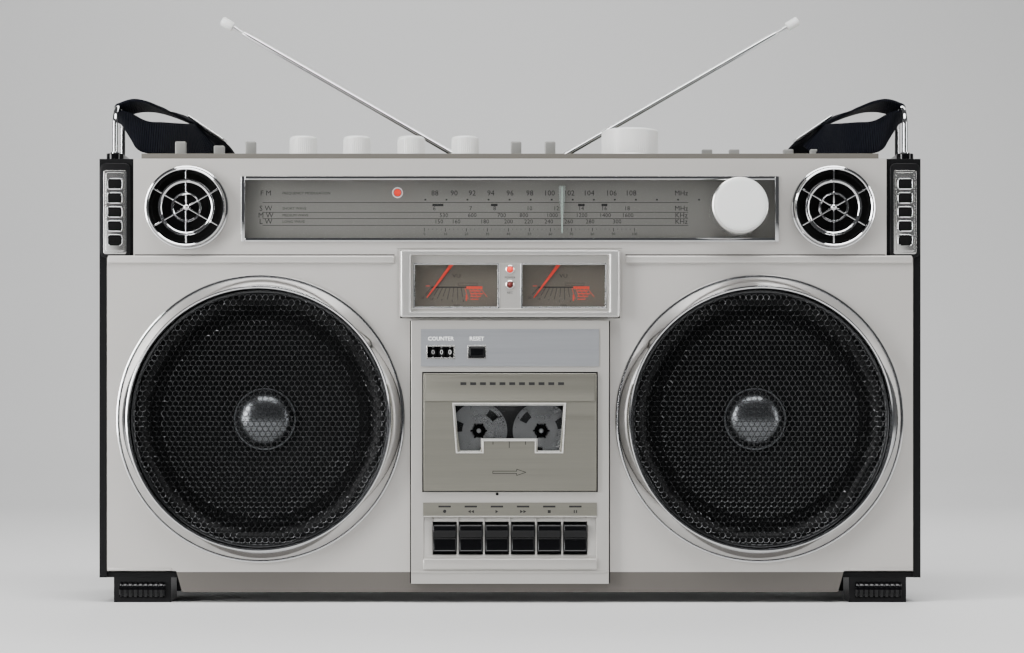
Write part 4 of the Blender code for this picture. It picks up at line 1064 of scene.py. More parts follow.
def build_meters():
    low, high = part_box("meter_bezel")
    front, z0, z1, x1 = low.y, low.z, high.z, high.x
    window_low, window_high = 0.2000, 0.2302
    inner_x, inner_low, inner_high = 0.0671, 0.1974, 0.2360
    face_depth = front + 0.0040

    rim = ring_plate(
        (-x1, z0, x1, z1), (-inner_x, inner_low, inner_x, inner_high), front, FACE - 0.0001,
    )
    soften(new_piece("meter_bezel_rim", rim, BEZEL_SILVER, node="meter_bezel"), 0.0022, 5)
    surround = ring_plate(
        (-x1 - 0.0021, z0 - 0.0019, x1 + 0.0021, z1 + 0.0019),
        (-x1 - 0.0004, z0 - 0.0004, x1 + 0.0004, z1 + 0.0004), FACE + 0.0004, FACE + 0.0024,
    )
    new_piece("meter_surround", surround, SILVER, smooth=0)

    strips = [
        (-inner_x, inner_low, inner_x, window_low), (-inner_x, window_high, inner_x, inner_high),
        (-inner_x, window_low, METER_CENTRES[0] - METER_WIDTH, window_high),
        (METER_CENTRES[0] + METER_WIDTH, window_low, METER_CENTRES[1] - METER_WIDTH, window_high),
        (METER_CENTRES[1] + METER_WIDTH, window_low, inner_x, window_high),
    ]
    shape = bmesh.new()
    for a, b, c, d in strips:
        box_into(shape, (a, face_depth, b), (c, face_depth + 0.0012, d))
    bmesh.ops.remove_doubles(shape, verts=shape.verts, dist=0.00001)
    plate = new_piece("meter_plate", shape, MODULE_SILVER)
    soften(plate, 0.0003, 2, 60.0)

    lips = bmesh.new()
    for x in METER_CENTRES:
        frame = ring_plate(
            (x - METER_WIDTH - 0.0004, window_low - 0.0004, x + METER_WIDTH + 0.0004,
             window_high + 0.0004),
            (x - METER_WIDTH + 0.0008, window_low + 0.0008, x + METER_WIDTH - 0.0008,
             window_high - 0.0008),
            face_depth - 0.0006, METER_CARD,
        )
        merge_into(lips, frame)
    lip = new_piece("meter_window_lips", lips, CHROME)
    soften(lip, 0.0003, 2)

    cards = bmesh.new()
    for x in METER_CENTRES:
        box_into(cards, (x - METER_WIDTH, METER_CARD, window_low),
                 (x + METER_WIDTH, METER_CARD + 0.0012, window_high + 0.0040))
    new_piece("meter_cards", cards, METER_FACE, smooth=0)

    y = METER_CARD - 0.00002
    black = bmesh.new()
    red = bmesh.new()
    amber = bmesh.new()
    line_z = 0.2146
    for x in METER_CENTRES:
        left = x - METER_WIDTH
        print_bar(black, left + 0.0118, line_z - 0.0004, left + 0.0356, line_z + 0.0004, y)
        print_bar(red, left + 0.0356, line_z - 0.0012, left + 0.0465, line_z + 0.0006, y)
        for z in (line_z + 0.0012, line_z + 0.0027):
            print_bar(black, left + 0.0300, z, left + 0.0430, z + 0.00022, y)
        print_bar(black, left + 0.0300, line_z + 0.0012, left + 0.0302, line_z + 0.0028, y)
        print_bar(black, left + 0.0428, line_z + 0.0012, left + 0.0430, line_z + 0.0028, y)
        pivot = Vector((x, 0.2342))
        for i in range(14):
            start = Vector((left + 0.0120 + i * 0.0025, line_z))
            way = (start - pivot).normalized()
            stop = start + way * (0.0085 if i % 2 else 0.0066)
            stroke(black if i < 9 else red, start, stop, y, 0.00032)
            if i % 2 == 0 and i < 9:
                spot = start + way * 0.0095
                print_words(black, str((20, 10, 7, 5, 3)[i // 2]), spot.x, spot.y, y, 0.0022)
        for i in range(4):
            z = line_z - 0.0028 - i * 0.0019
            reach = 0.0085 - abs(i - 1) * 0.0016
            print_bar(red, left + 0.0385, z, left + 0.0385 + reach, z + 0.0006, y)
        print_bar(amber, left + 0.0352, 0.2053, left + 0.0360, 0.2095, y)
        print_bar(amber, left + 0.0080, line_z + 0.0006, left + 0.0108, line_z + 0.0011, y)
        print_words(black, "VU", x, 0.2222, y, 0.0036, wide=1.2)
        print_bar(black, x - 0.0022, 0.2022, x + 0.0022, 0.2026, y)
    new_piece("meter_print", black, INK_BLACK, smooth=0)
    new_piece("meter_print_red", red, INK_RED, smooth=0)
    new_piece("meter_print_amber", amber, INK_RED, smooth=0)

    for side in ("left", "right"):
        node = f"meter_needle_{side}"
        refined(node, NEEDLE_RED, body=node, width=0.0001, segments=1)

    panes = bmesh.new()
    for x in METER_CENTRES:
        slab_into(
            panes,
            [(x - METER_WIDTH, window_low), (x + METER_WIDTH, window_low),
             (x + METER_WIDTH, window_high), (x - METER_WIDTH, window_high)],
            face_depth + 0.0001, face_depth + 0.0009,
        )
    new_piece("meter_panes", panes, CLEAR, smooth=0)

    words = bmesh.new()
    print_words(words, "POWER", 0.0, 0.2207, face_depth - 0.00002, 0.0021)
    print_words(words, "REC", 0.0, 0.2104, face_depth - 0.00002, 0.0023)
    new_piece("meter_words", words, INK_BLACK, smooth=0)
    for name, z, lens in (("power_lamp", 0.2263, LAMP_RED), ("record_lamp", 0.2160, LAMP_DARK)):
        bulb = [
            (0.0, 0.0022), (0.0008, 0.0020), (0.0015, 0.0012), (0.0018, 0.0002), (0.0018, -0.0010),
            (0.0, -0.0010),
        ]
        turned_piece(name, bulb, facing_front(0.0, face_depth, z), lens, steps=24)
        collar = [(0.0030, 0.0), (0.0029, 0.0007), (0.0024, 0.0010), (0.0019, 0.0006), (0.0019, 0.0)]
        turned_piece(name + "_collar", collar, facing_front(0.0, face_depth - 0.0001, z),
                     SATIN_CHROME, steps=32, closed=True)


def ring_plate(outer, inner, y_front, y_back):
    """A rectangular ring of one piece, from (x low, z low, x high, z high) outside and inside."""
    shape = bmesh.new()
    loops = []
    for x0, z0, x1, z1 in (outer, inner):
        corners = ((x0, z0), (x1, z0), (x1, z1), (x0, z1))
        verts = [shape.verts.new((x, y_front, z)) for x, z in corners]
        loops.append([shape.edges.new((verts[i], verts[(i + 1) % 4])) for i in range(4)])
    bmesh.ops.bridge_loops(shape, edges=loops[0] + loops[1])
    thicken(shape, shape.faces[:], (0.0, y_back - y_front, 0.0))
    bmesh.ops.recalc_face_normals(shape, faces=shape.faces)
    return shape


def stroke(target, start, end, y, width):
    start, end = Vector(start), Vector(end)
    across = (end - start).normalized().orthogonal() * (width / 2)
    corners = (start - across, start + across, end + across, end - across)
    target.faces.new([target.verts.new((p.x, y, p.y)) for p in corners])


build_meters()


# ---- Centre module, door, cassette and reels ----
def build_module():
    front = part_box("center_panel")[0].y
    refined("center_panel", MODULE_SILVER, width=0.0005, segments=3)

    label = bmesh.new()
    outer = (-0.0603, 0.1605, 0.0603, 0.1858)
    windows = ((-0.0562, 0.1660, -0.0376, 0.1743), (-0.0283, 0.1660, -0.0164, 0.1743))
    xs = [outer[0], windows[0][0], windows[0][2], windows[1][0], windows[1][2], outer[2]]
    y0, y1 = front - 0.0006, front + 0.0002
    for i in range(5):
        if i in (1, 3):
            box_into(label, (xs[i], y0, outer[1]), (xs[i + 1], y1, windows[0][1]))
            box_into(label, (xs[i], y0, windows[0][3]), (xs[i + 1], y1, outer[3]))
        else:
            box_into(label, (xs[i], y0, outer[1]), (xs[i + 1], y1, outer[3]))
    new_piece("label_plate", label, LABEL_METAL, smooth=0)
    lips = bmesh.new()
    for x0, z0, x1, z1 in windows:
        ring = ring_plate((x0 - 0.0005, z0 - 0.0005, x1 + 0.0005, z1 + 0.0005),
                          (x0 + 0.0004, z0 + 0.0004, x1 - 0.0004, z1 - 0.0004),
                          y0 - 0.0003, y1 + 0.0020)
        merge_into(lips, ring)
    lip = new_piece("counter_lips", lips, SATIN_CHROME)
    soften(lip, 0.0002, 2)
    words = bmesh.new()
    print_words(words, "COUNTER", -0.0468, 0.1791, y0 - 0.00002, 0.0037, bold=0.00011)
    print_words(words, "RESET", -0.0225, 0.1791, y0 - 0.00002, 0.0037, bold=0.00011)
    new_piece("label_words", words, INK_WHITE, smooth=0)

    door_low, door_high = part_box("cassette_door")
    # Thin black strips round the door are painted shade in its gaps; a small black dot at x -8.7 mm, z
    # 74 mm goes into the same piece.
    gaps = bmesh.new()
    for x0, z0, x1, z1 in (
        (door_low.x - 0.0010, door_low.z - 0.0008, door_low.x - 0.0001, door_high.z + 0.0010),
        (door_high.x + 0.0001, door_low.z - 0.0008, door_high.x + 0.0010, door_high.z + 0.0010),
        (door_low.x - 0.0001, door_high.z + 0.0001, door_high.x + 0.0001, door_high.z + 0.0010),
        (door_low.x - 0.0001, door_low.z - 0.0006, door_high.x + 0.0001, door_low.z - 0.0001),
    ):
        box_into(gaps, (x0, front - 0.0001, z0), (x1, front + 0.0004, z1))
    turn_into(gaps, [(0.0, 0.0003), (0.0010, 0.0003), (0.0010, -0.0004), (0.0, -0.0004)],
              facing_front(-0.0087, front, 0.0741), 20)
    new_piece("door_gap_painted_shade", gaps, INNER_BLACK, smooth=0)

    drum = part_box("counter_wheel")
    radius = (drum[1].z - drum[0].z) / 2
    centre = middle("counter_wheel")
    width = drum[1].x - drum[0].x
    digits_y = drum[0].y - 0.00002
    for name, offset, body in (
        ("counter_drum_hundreds", -2, "root"), ("counter_drum_tens", -1, "root"),
        ("counter_wheel_fine", 0, "counter_wheel"),
    ):
        x = centre.x + offset * (width + 0.0009)
        shape = bmesh.new()
        profile = [
            (0.0, width / 2), (radius - 0.0006, width / 2), (radius, width / 2 - 0.0004),
            (radius, -width / 2 + 0.0004), (radius - 0.0006, -width / 2), (0.0, -width / 2),
        ]
        turn = Matrix.Translation((x, centre.y, centre.z)) @ Matrix.Rotation(pi / 2, 4, "Y")
        turn_into(shape, profile, turn, 60)
        node = "counter_wheel" if body == "counter_wheel" else None
        new_piece(name, shape, BLACK, body=body, node=node)
        digits = bmesh.new()
        for i in range(10):
            glyph = carry(text_shape(str(i), 0.0046), facing_front(x, digits_y, centre.z))
            spin = Matrix.Rotation(2 * pi * i / 10, 4, "X")
            there = Matrix.Translation(centre)
            merge_into(digits, carry(glyph, there @ spin @ there.inverted()))
        new_piece(name + "_digits", digits, INK_WHITE, body=body, smooth=0)

    refined("button_counter_reset", GLOSS_BLACK, body="button_counter_reset",
                     width=0.0007, segments=3)


def window_outline(grow):
    """The door window's outline, grown outward by a distance."""
    top, bottom, notch = 0.1348 + grow, 0.1026 - grow, 0.1108 - grow
    return [
        (-0.0380 - grow, top), (-0.0355 - grow, bottom), (-0.0188 + grow, bottom),
        (-0.0188 + grow, notch), (0.0178 - grow, notch), (0.0178 - grow, bottom),
        (0.0350 + grow, bottom), (0.0370 + grow, top),
    ]


def build_door():
    low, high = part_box("cassette_door")
    front = low.y
    refined("cassette_door", DOOR_METAL, body="cassette_door", width=0.0004, segments=2)

    band = bmesh.new()
    box_into(band, (low.x + 0.0012, front - 0.0006, 0.1369),
             (high.x - 0.0012, front + 0.0004, high.z - 0.0011), 0.0004, 2)
    new_piece("door_upper_band", band, DOOR_METAL, body="cassette_door")

    bevel = bmesh.new()
    rings = []
    for grow, y in ((0.0010, front - 0.0002), (0.0007, front - 0.0006), (0.0001, front - 0.0004),
                    (-0.0009, front + 0.0028)):
        rings.append([bevel.verts.new((x, y, z)) for x, z in window_outline(grow)])
    for first, second in zip(rings, rings[1:]):
        for i in range(len(first)):
            j = (i + 1) % len(first)
            bevel.faces.new((first[i], first[j], second[j], second[i]))
    new_piece("door_window_edge", bevel, EDGE_WHITE, body="cassette_door", smooth=0)

    marks = bmesh.new()
    y = front - 0.00003
    for i, x in enumerate((-0.0115, -0.0005, 0.0105)):
        print_bar(marks, x - 0.00022, 0.1075 - 0.0022 * (i == 1), x + 0.00022, 0.1100, y)
    z = 0.0888
    for x0, z0, x1, z1 in (
        (-0.0118, z + 0.0006, 0.0045, z + 0.0010), (-0.0118, z - 0.0010, 0.0045, z - 0.0006),
        (-0.0118, z - 0.0010, -0.0114, z + 0.0010),
    ):
        print_bar(marks, x0, z0, x1, z1, y)
    for side in (-1, 1):
        for a, b in (((0.0045, 0.0021), (0.0108, 0.0)), ((0.0045, 0.0006), (0.0045, 0.0021))):
            stroke(marks, (a[0], z + side * a[1]), (b[0], z + side * b[1]), y, 0.0004)
    for i in range(11):
        print_bar(marks, -0.0335 + i * 0.0066, 0.1478, -0.0295 + i * 0.0066, 0.1497, front - 0.00063)
    new_piece("door_marks", marks, INK_BLACK, body="cassette_door", smooth=0)

    pane = bmesh.new()
    slab_into(pane, window_outline(0.0006), front + 0.0034, front + 0.0040)
    new_piece("door_pane", pane, CLEAR, body="cassette_door", smooth=0)


build_module()
build_door()


# ---- Cassette, reels and what stands behind the door ----
def build_cassette():
    refined("cassette_shell", SHELL_DARK, body="cassette_door", width=0.0004, segments=2)

    for side in ("left", "right"):
        node = f"cassette_reel_{side}"
        centre = middle(node)
        disc_low, disc_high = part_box(node)
        radius = (disc_high.x - disc_low.x) / 2
        front = disc_low.y
        place = facing_front(centre.x, front + 0.0010, centre.z)
        shape = bmesh.new()
        inner_radius = 0.0112
        teeth = 6
        per_wedge = 14
        gaps = 3
        hub_ring = [
            (inner_radius, 0.0010), (inner_radius, 0.0), (0.0049, 0.0), (0.0049, 0.0010),
        ]
        turn_into(shape, hub_ring, place, 60, closed=True, material=0)
        edge_ring = [(radius, 0.0010), (radius, 0.0), (radius - 0.0012, 0.0), (radius - 0.0012, 0.0010)]
        turn_into(shape, edge_ring, place, 72, closed=True, material=0)
        for wedge in range(gaps):
            start = 2 * pi * wedge / gaps + 0.60 + (0.5 if side == "left" else 0.0)
            end = start + 2 * pi / gaps - 0.50
            sector_into(shape, centre.x, centre.z, inner_radius - 0.0002, radius - 0.0010, start, end,
                        front, front + 0.0010, per_wedge)
            sector_into(shape, centre.x, centre.z, 0.0162, radius - 0.0010, end - 0.05, end + 0.55,
                        front, front + 0.0010, 6)
        sleeve = [
            (0.0108, -0.0062), (0.0108, -0.0001), (0.0064, -0.0001), (0.0064, -0.0062),
        ]
        turn_into(shape, sleeve, place, 48, closed=True, material=1)
        teeth_root = [
            (0.0068, 0.0), (0.0066, 0.0004), (0.0056, 0.0004), (0.0052, 0.0), (0.0052, -0.0062),
            (0.0068, -0.0062),
        ]
        lip = [
            (0.0098, 0.0), (0.0096, 0.0003), (0.0090, 0.0003), (0.0088, 0.0), (0.0088, -0.0004),
            (0.0098, -0.0004),
        ]
        turn_into(shape, lip, place, 48, closed=True, material=0)
        turn_into(shape, teeth_root, place, 48, closed=True, material=2)
        for i in range(teeth):
            a = 2 * pi * i / teeth
            tooth = bmesh.new()
            box_into(tooth, (0.0041, front - 0.0001, -0.0007), (0.0058, front + 0.0040, 0.0007),
                     0.0002, 1)
            turn = Matrix.Translation((centre.x, 0, centre.z)) @ Matrix.Rotation(a, 4, "Y")
            for face in tooth.faces:
                face.material_index = 2
            merge_into(shape, carry(tooth, turn))
        new_piece(node + "_fine", shape, [REEL_GREY, TAPE_BROWN, GLOSS_BLACK], body=node,
                  node=node)

        spindle = f"spindle_{side}"
        refined(spindle, GLOSS_BLACK, body=spindle, width=0.0003, segments=2)
        tip_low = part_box(spindle)[0].y
        tip = [(0.0, 0.0004), (0.0013, 0.0003), (0.0019, -0.0004), (0.0019, -0.0010), (0.0, -0.0010)]
        turned_piece(spindle + "_tip", tip, facing_front(centre.x, tip_low, centre.z), STEEL,
                     body=spindle, steps=24)


def sector_into(shape, x, z, inner, outer, start, end, y_front, y_back, steps, material=0):
    """Adds a curved plate between two radii and two angles."""
    outline = []
    for i in range(steps + 1):
        a = start + (end - start) * i / steps
        outline.append((x + outer * cos(a), z + outer * sin(a)))
    for i in range(steps, -1, -1):
        a = start + (end - start) * i / steps
        outline.append((x + inner * cos(a), z + inner * sin(a)))
    slab_into(shape, outline, y_front, y_back, material=material)


# ---- Keys ----
KEYS = ("record", "rewind", "play", "forward", "stop", "pause")


def build_keys():
    for word in KEYS:
        node = f"key_{word}"
        low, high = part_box(node)
        waist = low.z + (high.z - low.z) * 0.53
        shape = bmesh.new()
        top = [
            (low.y + 0.0004, high.z - 0.0006), (low.y + 0.0001, high.z - 0.0016),
            (low.y, waist + 0.0014), (low.y + 0.0006, waist), (low.y + 0.0020, waist - 0.0006),
            (low.y + 0.0019, low.z + 0.0012), (low.y + 0.0010, low.z),
            (high.y, low.z), (high.y, high.z), (low.y + 0.0012, high.z),
        ]
        verts = [shape.verts.new((low.x, y, z)) for y, z in top]
        face = shape.faces.new(verts)
        thicken(shape, [face], (high.x - low.x, 0, 0), keep=False)
        key = new_piece(node + "_fine", shape, GLOSS_BLACK, body=node, node=node, smooth=40.0)
        soften(key, 0.0007, 3, 50.0)

    panel_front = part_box("center_panel")[0].y
    silver = bmesh.new()
    first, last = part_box("key_record"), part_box("key_pause")
    play = 0.0004
    back = panel_front + 0.0090
    spans = [(-0.0586, first[0].x - play), (last[1].x + play, 0.0586)]
    for left, right in zip(KEYS, KEYS[1:]):
        spans.append((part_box(f"key_{left}")[1].x + play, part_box(f"key_{right}")[0].x - play))
    for x0, x1 in spans:
        box_into(silver, (x0, panel_front + 0.0006, 0.0304), (x1, back, 0.0586), 0.0003, 2)
    box_into(silver, (-0.0586, panel_front + 0.0016, 0.0552), (0.0586, back, 0.0586), 0.0004, 2)
    box_into(silver, (-0.0586, panel_front + 0.0004, 0.0304), (0.0586, back, 0.0330), 0.0008, 2)
    new_piece("key_surround", silver, MODULE_SILVER)

    well = bmesh.new()
    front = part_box("center_panel")[0].y
    box_into(well, (-0.0588, front - 0.0007, 0.0590), (0.0588, front + 0.0004, 0.0682))
    new_piece("key_label_strip", well, DOOR_METAL, smooth=0)
    lip = bmesh.new()
    box_into(lip, (-0.0588, front - 0.0018, 0.0232), (0.0588, front + 0.0004, 0.0303), 0.0007, 3)
    box_into(lip, (-0.0668, front - 0.0008, 0.0208), (0.0668, front + 0.0004, 0.0222), 0.0004, 2)
    box_into(lip, (-0.0588, front - 0.0010, 0.0585), (0.0588, front + 0.0004, 0.0592), 0.0003, 1)
    new_piece("key_well_lip", lip, MODULE_SILVER)

    marks = bmesh.new()
    y = front - 0.00073
    for i, word in enumerate(KEYS):
        x = (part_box(f"key_{word}")[0].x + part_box(f"key_{word}")[1].x) / 2
        print_bar(marks, x - 0.0042, 0.0650, x + 0.0042, 0.0662, y)
        z = 0.0622
        if word == "record":
            print_words(marks, "●", x, z, y, 0.0030)
        elif word == "stop":
            print_bar(marks, x - 0.0010, z - 0.0010, x + 0.0010, z + 0.0010, y)
        elif word == "pause":
            print_bar(marks, x - 0.0011, z - 0.0010, x - 0.0004, z + 0.0010, y)
            print_bar(marks, x + 0.0004, z - 0.0010, x + 0.0011, z + 0.0010, y)
        else:
            way = -1 if word == "rewind" else 1
            for shift in ((0.0,) if word == "play" else (-0.0010, 0.0012)):
                tip = x + shift + way * 0.0010
                tail = x + shift - way * 0.0010
                corners = ((tail, z - 0.0011), (tip, z), (tail, z + 0.0011))
                marks.faces.new([marks.verts.new((px, y, pz)) for px, pz in corners])
    new_piece("key_marks", marks, INK_BLACK, smooth=0)


build_cassette()
refined("tape_chassis", INNER_STEEL, width=0.0002, segments=1)
build_keys()


# ---- Controls on the deck ----
def build_deck():
    refined("top_panel", DECK_GREY, width=0.0005, segments=3)
    knobs = ("knob_balance", "knob_bass", "knob_treble", "knob_mic_mix", "knob_volume")
    deck_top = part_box("top_panel")[1].z
    marks = bmesh.new()
    for node in knobs:
        low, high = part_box(node)
        centre = middle(node)
        radius = (high.x - low.x) / 2
        base = deck_top + 0.0003
        height = high.z
        big = node == "knob_volume"
        ring = radius - (0.0006 if big else 0.0003)
        profile = [
            (0.0, height - 0.0002), (radius * 0.55, height - 0.0001), (radius - 0.0022, height),
            (radius - 0.0010, height - 0.0005), (radius - 0.0004, height - 0.0014),
            (ring, base + 0.0040), (radius, base + 0.0030), (radius, base + 0.0004),
            (radius - 0.0004, base), (0.0, base),
        ]
        shape = bmesh.new()
        turn_into(shape, profile, standing(centre.x, centre.y, 0.0), 96 if big else 64)
        ribs = 84 if big else 44
        for i in range(ribs):
            a = 2 * pi * i / ribs
            px, py = centre.x + ring * cos(a), centre.y + ring * sin(a)
            rod_into(shape, (px, py, base + 0.0045), (px, py, height - 0.0022), 0.00025, 6)
        new_piece(node + "_fine", shape, WHITE, body=node, node=node, smooth=30.0)
        line = bmesh.new()
        box_into(line, (centre.x - 0.0004, centre.y - radius + 0.0026, height - 0.0002),
                 (centre.x + 0.0004, centre.y - radius * 0.45, height + 0.00005))
        new_piece(node + "_line", line, INK_GREY, body=node, smooth=0)
        for i in range(11):
            a = radians(-150 + 30 * i) - pi / 2
            reach = radius + 0.0028
            px, py = centre.x + reach * cos(a), centre.y + reach * sin(a)
            size = 0.00045
            box_into(marks, (px - size, py - size, deck_top - 0.0001),
                     (px + size, py + size, deck_top + 0.00004))
    levers = [node for node in frame["nodes"] if node.startswith("lever_")]
    for node in sorted(levers):
        low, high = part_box(node)
        x0, x1 = low.x, high.x
        base = deck_top
        shape = bmesh.new()
        box_into(shape, (x0, low.y, low.z), (x1, high.y, high.z), 0.0007, 3)
        for i in range(4):
            y = low.y + 0.0009 + i * (high.y - low.y - 0.0018) / 3
            box_into(shape, (x0 + 0.0008, y - 0.0003, high.z - 0.0004),
                     (x1 - 0.0008, y + 0.0003, high.z + 0.0001), 0.0001, 1)
        new_piece(node + "_fine", shape, LEVER_GREY, body=node, node=node)
        for shift in (-0.0035, 0.0, 0.0035):
            middle_y = (low.y + high.y) / 2 + shift
            box_into(marks, (x1 + 0.0022, middle_y - 0.0002, base - 0.0001),
                     (x1 + 0.0042, middle_y + 0.0002, base + 0.00004))
    new_piece("deck_marks", marks, INK_WHITE, smooth=0)
    node = "button_battery_check"
    low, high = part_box(node)
    centre = middle(node)
    radius = (high.x - low.x) / 2
    profile = [
        (0.0, high.z - 0.0006), (radius - 0.0018, high.z - 0.0003), (radius - 0.0008, high.z),
        (radius, high.z - 0.0007), (radius, low.z), (0.0, low.z),
    ]
    turned_piece(node + "_fine", profile, standing(centre.x, centre.y, 0.0), WHITE, body=node,
                 node=node, steps=40)


# ---- Antennas ----
def build_antennas():
    for side, sign in (("left", -1), ("right", 1)):
        base = f"antenna_base_{side}"
        refined(base, BLACK, body=base, width=0.0006, segments=3)
        pivot = Vector((sign * 0.028, 0.058, 0.312))
        way = Vector((sign * cos(radians(30)), 0.0, sin(radians(30))))
        tube_low, tube_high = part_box(f"antenna_tube_{side}")
        turn = way.to_track_quat("Z", "Y").to_matrix().to_4x4()
        place = Matrix.Translation(pivot) @ turn
        far = (tube_high - tube_low).x
        end = far / cos(radians(30)) - 0.0048
        tube = bmesh.new()
        profile = [(0.0, 0.0010), (0.0020, 0.0010), (0.0020, 0.0030)]
        profile += [(0.0020, end - 0.0052), (0.0019, end - 0.0048), (0.0019, end - 0.0006)]
        profile += [(0.0016, end), (0.0011, end + 0.0001), (0.0011, end - 0.0010), (0.0, end - 0.0010)]
        turn_into(tube, profile, place, 32)
        knuckle = bmesh.new()
        bmesh.ops.create_uvsphere(knuckle, u_segments=24, v_segments=12, radius=0.0024)
        merge_into(tube, carry(knuckle, Matrix.Translation(pivot)))
        new_piece(f"antenna_tube_{side}_fine", tube, CHROME, body=f"antenna_tube_{side}",
                  node=f"antenna_tube_{side}", smooth=40.0)
        reach = 0.2118
        tip = bmesh.new()
        rod = [
            (0.0, 0.0150), (0.0010, 0.0150), (0.0010, reach - 0.0135), (0.0015, reach - 0.0132),
            (0.0015, reach - 0.0095), (0.0, reach - 0.0095),
        ]
        turn_into(tip, rod, place, 24, material=0)
        cap = [
            (0.0, reach - 0.0094), (0.0029, reach - 0.0094), (0.0033, reach - 0.0088),
            (0.0035, reach - 0.0008), (0.0029, reach), (0.0, reach),
        ]
        turn_into(tip, cap, place, 32, material=1)
        new_piece(f"antenna_tip_{side}_fine", tip, [CHROME, WHITE], body=f"antenna_tip_{side}",
                  node=f"antenna_tip_{side}", smooth=40.0)


build_deck()
build_antennas()


# ---- Strap, its posts and its buckles ----
STRAP_WIDTH = 0.025
STRAP_THICK = 0.0018
STRAP_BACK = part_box("strap")[1].y - 0.0016
STRAP_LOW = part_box("strap")[0].z + 0.0125


def upper_stations():
    """Place, width direction and width of the layer that runs over the post and down the back."""
    stations = [
        ((-0.27535, -0.0164, 0.3390), (0.0, 0.82, -0.57), 0.014),
        ((-0.2745, -0.0152, 0.3407), (0.0, 0.82, -0.57), 0.014),
        ((-0.2725, -0.0147, 0.3416), (0.0, 0.82, -0.57), 0.014),
        ((-0.2690, -0.0150, 0.3430), (0.0, 0.85, -0.50), 0.015),
        ((-0.2640, -0.0160, 0.3442), (0.0, 0.92, -0.35), 0.018),
        ((-0.2580, -0.0165, 0.3446), (0.05, 0.97, -0.20), 0.022),
        ((-0.2500, -0.0140, 0.3438), (0.15, 0.97, -0.12), 0.025),
        ((-0.2400, -0.0050, 0.3412), (0.35, 0.92, -0.15), 0.025),
        ((-0.2290, 0.0070, 0.3375), (0.60, 0.75, -0.30), 0.025),
        ((-0.2190, 0.0190, 0.3330), (0.80, 0.35, -0.50), 0.025),
        ((-0.2140, 0.0370, 0.3260), (0.90, 0.30, -0.35), 0.025),
        ((-0.2115, 0.0550, 0.3180), (0.97, 0.20, -0.20), 0.025),
        ((-0.2090, 0.0720, 0.3110), (1.0, 0.08, -0.05), 0.025),
        ((-0.2065, 0.0830, 0.3045), (1.0, 0.0, 0.03), 0.025),
        ((-0.2050, STRAP_BACK, 0.2960), (1.0, 0.0, 0.05), 0.025),
        ((-0.2040, STRAP_BACK, 0.2840), (1.0, 0.0, 0.05), 0.025),
    ]
    reach, start = 0.2040, 0.2840
    drop = start - STRAP_LOW
    count = 12
    for i in range(1, count + 1):
        turn = (pi / 2) * i / count
        along = Vector((reach * sin(turn), 0.0, -drop * cos(turn))).normalized()
        place = (-reach * cos(turn), STRAP_BACK, start - drop * sin(turn))
        stations.append((place, (-along.z, 0.0, along.x), STRAP_WIDTH))
    return stations


def lower_stations():
    """The layer that comes back under the post, stands on edge and ends at the buckle."""
    return [
        ((-0.27535, -0.0164, 0.3390), (0.0, 0.82, -0.57), 0.014),
        ((-0.2745, -0.0176, 0.3373), (0.0, 0.82, -0.57), 0.014),
        ((-0.2725, -0.0181, 0.3362), (0.0, 0.82, -0.57), 0.014),
        ((-0.2690, -0.0195, 0.3335), (0.0, 0.55, -0.83), 0.015),
        ((-0.2640, -0.0215, 0.3290), (0.0, 0.15, -0.99), 0.019),
        ((-0.2590, -0.0232, 0.3240), (0.0, -0.25, -0.97), 0.024),
        ((-0.2520, -0.0240, 0.3214), (0.0, -0.38, -0.92), 0.025),
        ((-0.2430, -0.0212, 0.3214), (0.0, -0.38, -0.92), 0.025),
        ((-0.2350, -0.0140, 0.3216), (0.0, -0.35, -0.93), 0.025),
        ((-0.2280, -0.0030, 0.3220), (0.05, -0.20, -0.97), 0.025),
        ((-0.2220, 0.0085, 0.3240), (0.30, -0.10, -0.95), 0.024),
        ((-0.2178, 0.0170, 0.3290), (0.70, 0.10, -0.70), 0.023),
    ]


def curve_through(values, parts=4):
    """Smooth values between the given ones, as many parts to each gap."""
    points = [Vector(value) for value in values]
    padded = [points[0] * 2 - points[1]] + points + [points[-1] * 2 - points[-2]]
    made = []
    for i in range(len(points) - 1):
        a, b, c, d = padded[i:i + 4]
        for j in range(parts):
            t = j / parts
            made.append(0.5 * (
                2 * b + (c - a) * t + (2 * a - 5 * b + 4 * c - d) * t * t
                + (3 * b - a - 3 * c + d) * t ** 3
            ))
    made.append(points[-1])
    return made


